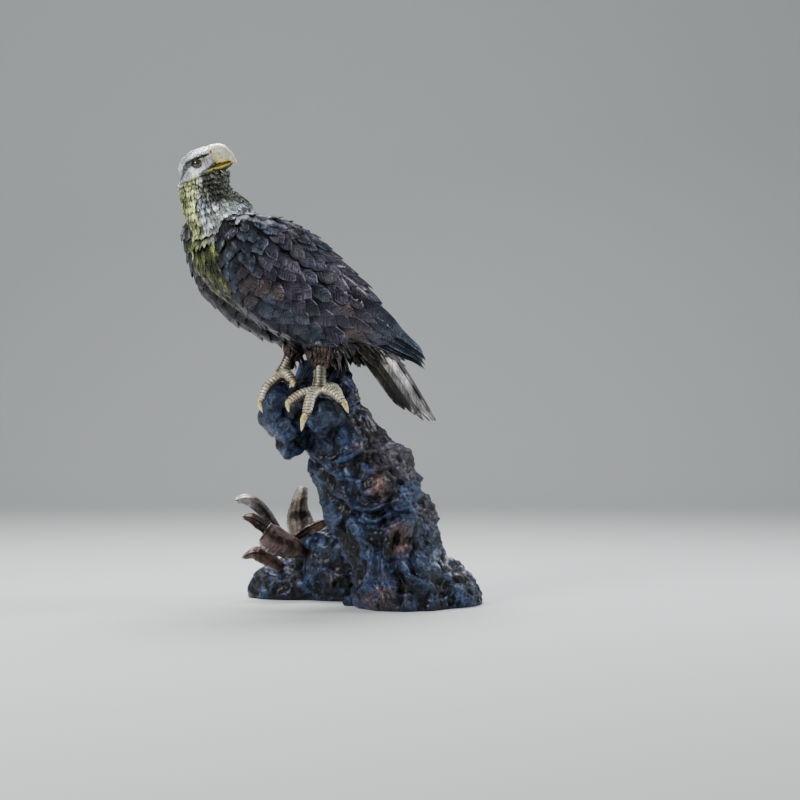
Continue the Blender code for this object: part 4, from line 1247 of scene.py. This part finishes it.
GAPE_ROUTE = [(0.008, -0.0280, 0.0215, 0.0016), (0.020, -0.0262, 0.0180, 0.0034),
              (0.036, -0.0245, 0.0124, 0.0046), (0.050, -0.0255, 0.0094, 0.0044),
              (0.062, -0.0265, 0.0068, 0.0040), (0.0735, -0.0270, 0.0020, 0.0022)]
gape_path, gape_wide, gape_high = spindle(GAPE_ROUTE, 28)
points, faces = tube(gape_path, HEAD[2],
                     lambda run, turn: (np.cos(turn) * gape_wide, np.sin(turn) * gape_high), 20)
make_piece("beak_tongue", points, faces, GILT_BEAK, "beak_claw", tone=washes(len(points), "#4a2a10"),
           relief=np.full(len(points), 0.40))

# %% [markdown]
# ## Long quills
# Tail and wing tips are fans of long stiff quills, each overlapping the next. They lie on a curved
# sheet: a middle line, a half width and a section bent to an arc. A quill is a strip of that sheet,
# given by where it lies across it and where it begins and ends, tilted a little so that one edge
# lies over its neighbour. The tail's patina goes in bands: dark under the coverts, silver along the
# middle, dark again at the ends.

# %% Sheets and quills


def sheet_of(spine, widths, up, roll, arch):
    """place(along 0..1, across -1..1, height) on a plate whose section is an arc of 2 x arch degrees."""
    fine = 80
    path = smooth_through(np.array(spine), fine)
    half = smooth_through([(w,) for w in widths], fine)[:, 0]
    _, side, top, run = moving_frame(path, up)
    angle = math.radians(roll)
    side, top = side * math.cos(angle) + top * math.sin(angle), top * math.cos(angle) - side * math.sin(angle)

    def place(along, across, height):
        pick = np.clip(along, 0, 1.2) * (fine - 1)
        over = np.maximum(pick - (fine - 1), 0)[..., None] * (path[-1] - path[-2])
        curl = math.radians(arch) * across

        def read(table):
            return np.stack([np.interp(pick, np.arange(fine), table[:, k]) for k in range(3)], -1)

        wide = (np.interp(pick, np.arange(fine), half) / math.sin(math.radians(arch)))[..., None]
        sideways, upward = read(side), read(top)
        out = sideways * np.sin(curl)[..., None] + upward * np.cos(curl)[..., None]
        return (read(path) + over + sideways * wide * np.sin(curl)[..., None]
                + upward * wide * (np.cos(curl) - 1)[..., None] + out * np.asarray(height)[..., None])

    return place, run[-1], half.mean()


def make_quills(name, sheet, quills, material, slot, replaces, tint, rows=26, columns=7, thickness=0.0022,
                tilt=0.0016, point=14.0, band=((0, 1), (1, 1))):
    """quills: rows of middle across, half width across, start and end along the sheet, and height.

    A quill's height over the sheet = its own + tilt x across + a shaft's ridge - 0.8 mm x across^2,
    with a slow wave along it. band gives places along a quill and how bright the patina is there.
    """
    place, length, half = sheet
    middle, wide, start, end, high = np.asarray(quills, dtype=float).T[..., None, None]
    chance = np.random.default_rng(len(quills))
    x, y, s, t = template(rows, columns, point, 0.25, 0.025)
    wander = 0.05 * np.sin(t * 5 + chance.uniform(0, 6, middle.shape)) * wide
    across = middle + wide * x + wander * t
    along = start + (end - start) * (y + 0.008 * np.sin(9 * s + chance.uniform(0, 6, middle.shape)) * t)
    height = (high + tilt * s * np.ones_like(across) + 0.0007 * np.exp(-((s / 0.14) ** 2)) - 0.0008 * s**2
              + 0.0012 * np.sin(t * 7 + chance.uniform(0, 6, middle.shape)) * t)
    thin = thickness * (1 - 0.45 * t)
    top, bottom = place(along, across, height + thin / 2), place(along, across, height - thin / 2)
    tint = np.asarray(tint) * np.exp(chance.normal(0, 0.20, (len(quills), 1)))
    uv = np.column_stack([middle[:, 0, 0],
                          start[:, 0, 0] + 0.5 * end[:, 0, 0] + 0.02 * np.arange(len(quills))])
    return assemble(name, top, bottom, wide * x * half, (along - start) * length, s, t, tint, uv, material,
                    slot, replaces, band=np.interp(t, *band))


# %% Tail
TAIL_SPINE = np.array([(0.038, 0.062, 0.632), (0.1005, 0.096, 0.574), (0.160, 0.130, 0.493),
                       (0.227, 0.170, 0.3855)])
tail_sheet = sheet_of(TAIL_SPINE + SHIFT, (0.042, 0.053, 0.056, 0.055), (0, 0, 1), -59, 36)
tail_quills = [(t, 0.27, 0.02, 1.045 - 0.05 * abs(t) ** 2.5 - 0.10 * (t + 1)
                - 0.045 * float(smoothstep(0.2, 0.8, t)), 0.0012 * (k % 2))
               for k, t in enumerate(np.linspace(-0.80, 0.80, 7))]
upper_tail = [(t, 0.22, 0.0, 0.46 - 0.1 * abs(t) + 0.06 * (k % 2), high)
              for high in (0.0058, -0.0058) for k, t in enumerate(np.linspace(-0.8, 0.8, 8))]
TAIL_BAND = ((0, 0.28, 0.40, 0.70, 0.80, 1.0), (0.30, 0.45, 1.15, 1.0, 0.22, 0.18))
# The quills at both edges of the fan are painted dark: partly dark patina, partly painted shade on the tail's
# lower side
TAIL_TONES_AND_SHADE = [srgb(code) for code in ("#2c2825", "#5a504e", "#d2c8c4", "#e2dad6", "#aca4a0", "#585446",
                                      "#3a3828")]
make_quills("tail_quills", tail_sheet, tail_quills, PALE_FEATHER, "tail_feather", ["tail"], TAIL_TONES_AND_SHADE,
            thickness=0.0038, tilt=0.0020, point=16.0, columns=11, band=TAIL_BAND)
make_quills("tail_coverts", tail_sheet, upper_tail, DARK_FEATHER, "tail_feather", (), [srgb("#4a443a")] * 16,
            point=4.0, rows=14, thickness=0.0026)

# %% Wing quills
# The paler blue-grey quills among the dark ones are painted highlights along their upper faces
WING_TONES_AND_HIGHLIGHTS = [srgb(code) for code in ("#4a5866", "#4a5866", "#75879a", "#4a5866", "#6d7f92", "#3d4956",
                                      "#8193a6")]
for side, sign in (("left", 1), ("right", -1)):
    spine = [on_body(-0.050, sign * 0.102, -0.018), on_body(-0.160, sign * 0.092, 0.010),
             on_body(-0.262, sign * 0.070, 0.019), on_body(-0.322, sign * 0.056, 0.0265),
             on_body(-0.369, sign * 0.044, 0.021)]
    wing_sheet = sheet_of(spine, (0.050, 0.044, 0.026, 0.017, 0.012), BODY[2], sign * 68, 26)
    stack = np.linspace(-0.76, 0.76, 7)
    quills = [(t * sign, 0.26, 0.0, 0.93 + 0.07 * (k % 2) - 0.16 * (0.5 + 0.5 * t) ** 1.5, 0.0012 * k)
              for k, t in enumerate(stack)]
    make_quills(f"wing_quills_{side}", wing_sheet, quills, DARK_FEATHER, "dark_feather",
                [f"wing_{side}_primaries"], WING_TONES_AND_HIGHLIGHTS, rows=34, thickness=0.0030, tilt=0.0030,
                point=9.0, columns=9)

# %% [markdown]
# ## Feet
# An eagle's toes are ringed with broad scutes over the top and pebbled pads below. A toe is a tube
# along its bones whose radius swells over each scute and drops in the gaps between, a chain of domes
# about 7 mm long; the shank has larger ones. A claw is a smooth hook that grows out of the last.

# %% Routes of shanks, toes and claws
LEGS = {     # each toe: root, two knuckles, the claw's root and its tip
    "left": {
        "shank": [(-0.022, -0.053, 0.540), (-0.024, -0.060, 0.500), (-0.025, -0.064, 0.472)],
        "inner": [(-0.030, -0.064, 0.471), (-0.061, -0.076, 0.463), (-0.083, -0.084, 0.449),
                  (-0.092, -0.087, 0.442), (-0.089, -0.092, 0.424)],
        "middle": [(-0.028, -0.070, 0.470), (-0.041, -0.096, 0.457), (-0.048, -0.115, 0.428),
                   (-0.057, -0.122, 0.407), (-0.061, -0.121, 0.383)],
        "outer": [(-0.020, -0.068, 0.471), (0.004, -0.080, 0.465), (0.022, -0.088, 0.451),
                  (0.031, -0.090, 0.441), (0.039, -0.092, 0.422)],
        "hind": [(-0.022, -0.060, 0.471), (-0.006, -0.042, 0.478), (0.007, -0.028, 0.476),
                 (0.016, -0.020, 0.471), (0.026, -0.014, 0.455)]},
    "right": {
        "shank": [(-0.088, 0.042, 0.562), (-0.101, 0.042, 0.532), (-0.112, 0.042, 0.507)],
        "inner": [(-0.108, 0.036, 0.506), (-0.099, 0.020, 0.506), (-0.089, 0.008, 0.495),
                  (-0.085, 0.003, 0.488), (-0.079, -0.002, 0.471)],
        "middle": [(-0.118, 0.038, 0.503), (-0.143, 0.028, 0.480), (-0.154, 0.022, 0.456),
                   (-0.160, 0.018, 0.445), (-0.153, 0.012, 0.422)],
        "outer": [(-0.118, 0.046, 0.503), (-0.140, 0.064, 0.484), (-0.152, 0.076, 0.464),
                  (-0.158, 0.082, 0.454), (-0.156, 0.087, 0.434)],
        "hind": [(-0.110, 0.050, 0.505), (-0.106, 0.070, 0.502), (-0.104, 0.084, 0.492),
                 (-0.103, 0.091, 0.484), (-0.102, 0.098, 0.466)]}}
TOE_RADIUS, SHANK_RADIUS, CLAW_RADIUS = 0.0114, 0.0144, 0.0070
SCUTE, SHANK_SCUTE = 0.0072, 0.0088
SHANK_RINGS, TOE_RINGS, CLAW_RINGS, CLAW_SIDES = 44, 64, 28, 16
TOE_UP = (0.02, 0.1, 1)     # tilted a little, so that no toe or claw runs along it

# %% Scutes


def scute_dome(run, turn, spacing):
    """Chain of domes |sin(pi run / spacing)|^0.55 over the top, a staggered finer pebble chain below."""
    lean = 0.0008 * np.cos(2 * turn)
    above = np.abs(np.sin(np.pi * (run + lean) / spacing)) ** 0.55
    below = np.abs(np.sin(np.pi * run / (0.7 * spacing)) * np.sin(2.5 * turn)) ** 0.5
    top = smoothstep(-0.35, -0.05, np.sin(turn))
    return below + (above - below) * top


def scaled_tube(name, path, up, radii, spacing, amount, replaces, sides=24):
    """Tube with scutes: radius x (1 + amount x dome), coloured from groove to crest."""
    _, _, _, run = moving_frame(path, up)

    def section(along, turn):
        swell = radii * (1 + amount * (scute_dome(along, turn, spacing) - 0.6))
        return swell * np.cos(turn), swell * np.sin(turn) * 0.94

    points, faces = tube(path, up, section, sides)
    turn = np.linspace(0, 2 * math.pi, sides, endpoint=False)[None, :]
    dome = scute_dome(run[:, None], turn, spacing)
    upper = smoothstep(-0.9, 0.2, np.sin(turn)) * np.ones_like(dome)
    tone = washes(len(points), "#726b5c", ("#e6dfc8", dome * (0.35 + 0.65 * upper)))
    make_piece(name, points, faces, GILT_FOOT, "foot_scute", replaces, tone=tone,
               relief=0.10 + 0.85 * dome**1.2)


# %% Shanks, foot pads, toes and claws
for side, leg in LEGS.items():
    foot = np.array(leg["shank"][-1]) + SHIFT
    path = smooth_through(np.array(leg["shank"]) + SHIFT, SHANK_RINGS)
    radii = SHANK_RADIUS * smooth_through([(0.98,), (0.92,), (1.12,)], SHANK_RINGS)
    scaled_tube(f"shank_scutes_{side}", path, (0, 1, 0), radii, SHANK_SCUTE, 0.16, [f"shank_{side}"],
                sides=28)
    points, faces, _ = ball(foot, np.array([0, 0, 1.0]), 0.0168, 24, 32)
    knobs = pebbles(points - SHIFT, 0.0075, 7)
    points = foot + (points - foot) * (1, 1, 0.82) * (1 + 0.07 * knobs)[:, None]
    make_piece(f"foot_pad_{side}", points, faces, GILT_FOOT, "foot_scute", [f"foot_{side}"],
               tone=washes(len(points), "#5e5748", ("#c8bea2", knobs)), relief=0.1 + 0.8 * knobs)
    for toe in ("inner", "middle", "outer", "hind"):
        route = np.array(leg[toe]) + SHIFT
        root = route[2] + 0.45 * (route[3] - route[2])
        path = smooth_through([foot + 0.12 * (route[1] - foot), route[1], route[2],
                               root + 0.35 * (route[3] - root)], TOE_RINGS)
        radii = TOE_RADIUS * smooth_through([(1.0,), (1.0,), (0.93,), (0.60,)], TOE_RINGS)
        scaled_tube(f"toe_scutes_{side}_{toe}", path, TOE_UP, radii, SCUTE, 0.20, [f"toe_{side}_{toe}"])
        path = smooth_through([route[2] + 0.25 * (root - route[2]), root, route[3],
                               route[3] + 0.6 * (route[4] - route[3]), route[4]], CLAW_RINGS)
        radii = CLAW_RADIUS * smooth_through([(0.9,), (1.08,), (0.95,), (0.60,), (0.10,)], CLAW_RINGS)
        points, faces = tube(path, TOE_UP, lambda run, turn: (0.86 * radii * np.cos(turn),
                                                              radii * np.sin(turn)), CLAW_SIDES)
        tip = np.repeat(np.linspace(0, 1, CLAW_RINGS), CLAW_SIDES)
        make_piece(f"claw_hook_{side}_{toe}", points, faces, GILT_BEAK, "beak_claw", [f"claw_{side}_{toe}"],
                   tone=washes(len(points), "#c9b468", ("#f3e6a8", tip)),
                   relief=0.25 + 0.6 * smoothstep(0.1, 0.5, tip))

# %% [markdown]
# ## Leaves
# The curled leaves at the foot of the rock are thick cast plates with a middle rib, side veins and
# torn, rolled edges. Each is a strip of its own sheet whose outline wavers, brown inside and bright
# along the rim.

# %% Routes of the leaves
LEAVES = {     # middle line, half widths along it, roll and arch in degrees
    "leaf_hook": ([(-0.112, 0.150, 0.132), (-0.142, 0.140, 0.180), (-0.166, 0.135, 0.211),
                   (-0.196, 0.130, 0.226), (-0.226, 0.125, 0.221)],
                  (0.014, 0.020, 0.019, 0.013, 0.003), 55, 50),
    "leaf_spear": ([(-0.112, 0.128, 0.130), (-0.150, 0.118, 0.163), (-0.180, 0.110, 0.182),
                    (-0.207, 0.105, 0.187)], (0.013, 0.018, 0.014, 0.003), 50, 42),
    "leaf_folded": ([(-0.058, 0.100, 0.108), (-0.098, 0.090, 0.128), (-0.126, 0.082, 0.146),
                     (-0.148, 0.076, 0.164)], (0.013, 0.029, 0.034, 0.026), 62, 70),
    "leaf_low": ([(-0.114, 0.132, 0.070), (-0.150, 0.118, 0.098), (-0.178, 0.108, 0.106),
                  (-0.205, 0.100, 0.094)], (0.015, 0.021, 0.016, 0.003), 55, 46),
    "leaf_upright": ([(-0.066, 0.150, 0.118), (-0.078, 0.146, 0.170), (-0.080, 0.142, 0.205),
                      (-0.070, 0.140, 0.253)], (0.025, 0.029, 0.023, 0.012), 0, 80),
    "leaf_ground": ([(-0.084, 0.118, 0.140), (-0.055, 0.108, 0.160), (-0.028, 0.100, 0.174),
                     (-0.004, 0.096, 0.184)], (0.008, 0.014, 0.014, 0.004), 40, 35)}
# Two leaves have paler upper faces: partly silver patina, partly painted highlight
PALER_AND_HIGHLIT = {"leaf_upright": "#a09488", "leaf_hook": "#918b88"}
LEAF_ROWS, LEAF_COLUMNS, LEAF_THICKNESS = 48, 25, 0.0042

# %% Leaf blades
# Height over the sheet = crumpled noise + a rib's ridge - veins slanted off it - rims rolled as |across|^6.
for seed, (name, (spine, widths, roll, arch)) in enumerate(LEAVES.items()):
    up = (0, -1, 0) if name == "leaf_upright" else (0, 0, 1)
    place, length, half = sheet_of(np.array(spine) + SHIFT, widths, up, roll, arch)
    t = np.linspace(0, 1, LEAF_ROWS)[:, None] * np.ones(LEAF_COLUMNS)
    s = np.linspace(-1, 1, LEAF_COLUMNS)[None, :] * np.ones((LEAF_ROWS, 1))
    grid = np.stack([t * 4, s * 0.5, 0 * s + 9.1 * seed], -1).reshape(-1, 3)
    torn = value_noise(np.stack([t * 7, np.sign(s), 0 * s + 5.3 * seed], -1).reshape(-1, 3), 1.0,
                       21).reshape(s.shape)
    across = s * (1 + 0.09 * torn * np.abs(s) ** 3)
    along = t * (1 - 0.05 * np.abs(s) ** 2) + 0.02 * torn * t
    rib = np.exp(-((s / 0.09) ** 2))
    veins = np.abs(np.sin(np.pi * (t * length - 0.5 * np.abs(s) * half) / 0.009)) ** 3 * (1 - rib) * np.abs(s)
    crumple = octaves(grid, 1.0, 33, 3).reshape(s.shape)
    height = 0.0022 * crumple + 0.0018 * rib - 0.0005 * veins - 0.003 * np.abs(s) ** 6 * np.sin(5 * t + seed)
    thin = LEAF_THICKNESS * (1 - 0.35 * np.abs(s) ** 4)
    top, bottom = place(along, across, height + thin / 2), place(along, across, height - thin / 2)
    points = np.concatenate([top.reshape(-1, 3), bottom.reshape(-1, 3)])
    edge = np.maximum(smoothstep(0.80, 1.0, np.abs(s)), smoothstep(0.93, 1.0, t))
    level = np.clip(0.50 + 0.16 * (name in PALER_AND_HIGHLIT) + 0.4 * crumple - 0.22 * veins
                    - 0.3 * np.exp(-((np.abs(s) - 0.14) / 0.06) ** 2), 0, 1)
    outer = washes(s.size, PALER_AND_HIGHLIT.get(name, "#6c5650"), ("#c4bcb8", edge))
    inner = washes(s.size, "#6a4636", ("#c8bcb6", edge))
    make_piece(f"{name}_blade", points, plate_faces(LEAF_ROWS, LEAF_COLUMNS).tolist(), LEAF, "leaf_bronze",
               [name], tone=np.vstack([outer, inner]), relief=np.concatenate([level.ravel()] * 2))

# %% [markdown]
# ## Rock
# The rock is one mass of boulders on a leaning column of bark-like stone. Its CAD bodies are fused as
# the flesh was, and the surface is pushed in and out along its normals: broad lumps everywhere,
# sharp stretched ridges on the column, pebbles on the right-hand skirt. Domes turned inside out are
# scoops and chips, like those that a modelling tool leaves in wax, and random planes cut flats off
# the boulders. The crest's shoulder is drawn in where the tail passes it. The underside stays flat.

# %% Rock skin
BOULDERS = ["boulder_far_left", "boulder_front_left", "boulder_front_right", "boulder_saddle", "rock_crest"]
PLATES = ["shard_brown", "bark_slab"]
ROCKS = BOULDERS + PLATES + ["rock_column", "rock_mound", "rock_ramp", "rock_skirt", "pebble_knob",
                             "shard_oval"]
rock_points, rock_normals, rock_faces = mesh_arrays(fused(ROCKS, 0.0033, 3))
drawn = rock_points - SHIFT
x, y, z = drawn.T
bend = octaves(drawn, 0.03, 40, 2)
near_side = 1 - smoothstep(0.0, 0.05, y - 0.02)
toes = [centre_of(f"toe_{side}_{toe}") for side in LEGS for toe in ("inner", "middle", "outer", "hind")]
free = 1 - 0.8 * np.clip(sum(np.exp(-(np.linalg.norm(rock_points - toe, axis=1) / 0.026) ** 2)
                             for toe in toes), 0, 1)

# %% Carved folds
# Folds of the near side: X and Z of both ends, sag to the left of the chord, width, height.
FOLDS = [(-0.007, 0.277, 0.132, 0.227, -0.034, 0.0090, 0.012),
         (-0.053, 0.366, 0.032, 0.277, -0.008, 0.0080, 0.008),
         (0.009, 0.316, 0.109, 0.331, 0.010, 0.0100, 0.008),
         (0.047, 0.200, 0.055, 0.108, -0.018, 0.0080, 0.010),
         (0.171, 0.185, 0.171, 0.057, -0.022, 0.0070, 0.010),
         (0.078, 0.146, 0.094, 0.088, 0.010, 0.0090, 0.008),
         (0.094, 0.088, 0.055, 0.030, 0.010, 0.0090, 0.009),
         (0.163, 0.057, 0.159, 0.007, 0.004, 0.0070, 0.008),
         (0.221, 0.084, 0.275, 0.015, 0.012, 0.0100, 0.010),
         (0.148, 0.331, 0.190, 0.262, 0.014, 0.0090, 0.009),
         (0.198, 0.243, 0.225, 0.177, 0.010, 0.0090, 0.009),
         (0.120, 0.120, 0.150, 0.020, -0.012, 0.0080, 0.008),
         (-0.037, 0.173, -0.111, 0.108, -0.010, 0.0110, 0.008),
         (0.020, 0.300, 0.060, 0.215, -0.012, 0.0100, 0.009),
         (0.060, 0.205, 0.135, 0.205, -0.012, 0.0090, 0.008),
         (0.195, 0.150, 0.205, 0.070, -0.010, 0.0080, 0.007)]


def fold_height(x0, z0, x1, z1, sag, wide, high):
    """A crest along a bowed chord, exp(-(distance / width)^2), with a groove along its lower side.

    The chord's distance wavers by bend, so no fold runs like a ruled line.
    """
    long, rise = x1 - x0, z1 - z0
    chord = math.hypot(long, rise)
    t = ((x - x0) * long + (z - z0) * rise) / chord**2
    off = ((x - x0) * rise - (z - z0) * long) / chord + sag * (1 - (2 * t - 1) ** 2) + 0.004 * bend
    ends = smoothstep(-0.12, 0.12, t) * (1 - smoothstep(0.88, 1.12, t))
    return high * ends * (np.exp(-((off / wide) ** 2)) - 0.8 * np.exp(-(((off - 1.7 * wide) / wide) ** 2)))


def chipped(points, node, share=0.84, count=18):
    """Pushes whatever stands beyond random planes round a boulder's middle back onto them.

    In the boulder's own scale a plane is direction . q = share, so each one cuts a flat off its ball.
    Close to the toes, where free is small, the rock stays as it was, so the grip doesn't change.
    """
    low, high = (np.array(corner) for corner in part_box(node))
    middle, half = (low + high) / 2, (high - low) / 2
    place = (points - middle) / half
    near = 1 - smoothstep(1.15, 1.35, np.linalg.norm(place, axis=1))
    directions = unit(np.random.default_rng(len(node)).normal(size=(count, 3)))
    for _ in range(2):
        beyond = place @ directions.T - share
        worst = beyond.argmax(axis=1)
        place = place - directions[worst] * (np.clip(beyond.max(axis=1), 0, 0.16) * near * free)[:, None]
    return middle + place * half


# %% Carving
for node in BOULDERS:
    rock_points = chipped(rock_points, node)
folded = near_side * sum(fold_height(*fold) for fold in FOLDS)
high_boulder = smoothstep(0.335, 0.375, z) * smoothstep(0.075, 0.0, x - 0.25 * (0.45 - z))
mound = smoothstep(0.10, 0.02, x) * smoothstep(0.20, 0.10, z)
skirt = smoothstep(0.185, 0.225, x + 0.25 * y) * smoothstep(0.14, 0.10, z)
bark = (1 - high_boulder) * (1 - 0.75 * mound) * (1 - 0.8 * skirt)
lean = drawn - np.outer(0.45 - z, [0.32, -0.03, 0])
warp = np.stack([octaves(drawn + 3.7 * k, 0.07, 50 + k, 2) for k in range(3)], -1)
crests = ridges((lean + 0.024 * warp) * (1, 1, 0.45), 0.034, 61, 4)
folds = ridges((drawn + 0.035 * warp) * (0.6, 0.6, 1.0), 0.070, 71, 2)
facets = ridges(drawn + 0.010 * warp, 0.070, 75, 1)
lumps = octaves(drawn, 0.085, 81, 3)
fine = ridges(drawn + 0.008 * warp, 0.013, 91, 2)
stones = pebbles(drawn, 0.027, 101) + 0.4 * pebbles(drawn, 0.011, 111)
scoops = 1 - pebbles(drawn + 0.012 * warp, 0.058, 141) ** 2
chips = 1 - pebbles(drawn + 0.006 * warp, 0.023, 151) ** 2
shoulder = np.exp(-((x - 0.058) / 0.028) ** 2 - ((z - 0.505) / 0.036) ** 2)
# A hollow between the mound and the column's foot: pushed in, and also painted dark in the relief as painted
# shade
cavity_and_shade = np.exp(-((x - 0.048 - 0.15 * (0.13 - z)) / 0.014) ** 2 - ((z - 0.120) / 0.048) ** 2) * near_side
push = (0.0060 * lumps * (1 - 0.5 * high_boulder) + bark * (0.0150 * (crests - 0.45) + 0.0110 * (folds - 0.5))
        + high_boulder * 0.0040 * (facets - 0.5) + (0.0036 - 0.0020 * high_boulder) * (fine - 0.5)
        + (1 - high_boulder) * (1 - skirt) * (0.0080 * (scoops - 0.6) + 0.0036 * (chips - 0.6))
        + high_boulder * free * 0.0022 * (chips - 0.6)
        + mound * 0.008 * (folds - 0.5) + skirt * 0.0090 * (stones - 0.6) - 0.010 * cavity_and_shade
        - 0.014 * shoulder + folded)
rock_points = rock_points + rock_normals * (push * smoothstep(0.0, 0.012, z))[:, None]
rock_points[:, 2] = np.where(rock_points[:, 2] < 0.0022, 0.0, rock_points[:, 2])

# %% Rock patina
plates = sum(np.exp(-(np.linalg.norm((rock_points - centre_of(node)) * (1, 0.6, 0.8), axis=1) / 0.030) ** 4)
             for node in PLATES)
crest_level = (0.34 + 0.15 * np.clip(plates, 0, 1) - 0.9 * cavity_and_shade + 0.9 * (fine - 0.5) + 0.12 * lumps
               + 0.35 * (chips - 0.6) + (1 - high_boulder) * 0.45 * (scoops - 0.6)
               + bark * (1.4 * (crests - 0.45) + 0.5 * (folds - 0.5))
               + 40 * folded + high_boulder * (0.16 + 0.8 * (facets - 0.5)) + skirt * 0.7 * (stones - 0.7))
ruddy = smoothstep(0.0, 0.5, octaves(drawn, 0.05, 121, 2)
                   + 0.9 * bark * smoothstep(0.02, 0.14, x - 0.9 * (0.30 - z)) - 0.50)
foot_brown = np.exp(-((x - 0.105) / 0.055) ** 2 - ((z - 0.035) / 0.045) ** 2) * near_side
# The near white on the crowns of the skirt's pebbles is a painted highlight
rock_tone = washes(len(drawn), "#384a6c", ("#54443e", ruddy * 0.65),
                   ("#5e4e50", foot_brown * smoothstep(-0.3, 0.4, octaves(drawn, 0.03, 161, 2))),
                   ("#2a3331", smoothstep(0.2, 0.7, octaves(drawn, 0.06, 131, 2)) * 0.5),
                   ("#775a4c", np.clip(plates, 0, 1) * 0.85),
                   ("#d5dce8", skirt * smoothstep(0.045, 0.08, z) * smoothstep(0.85, 1.10, stones)))
make_piece("rock_mass", rock_points, rock_faces, ROCK, "rock_bronze", ROCKS, tone=rock_tone,
           relief=np.clip(crest_level, 0, 1))
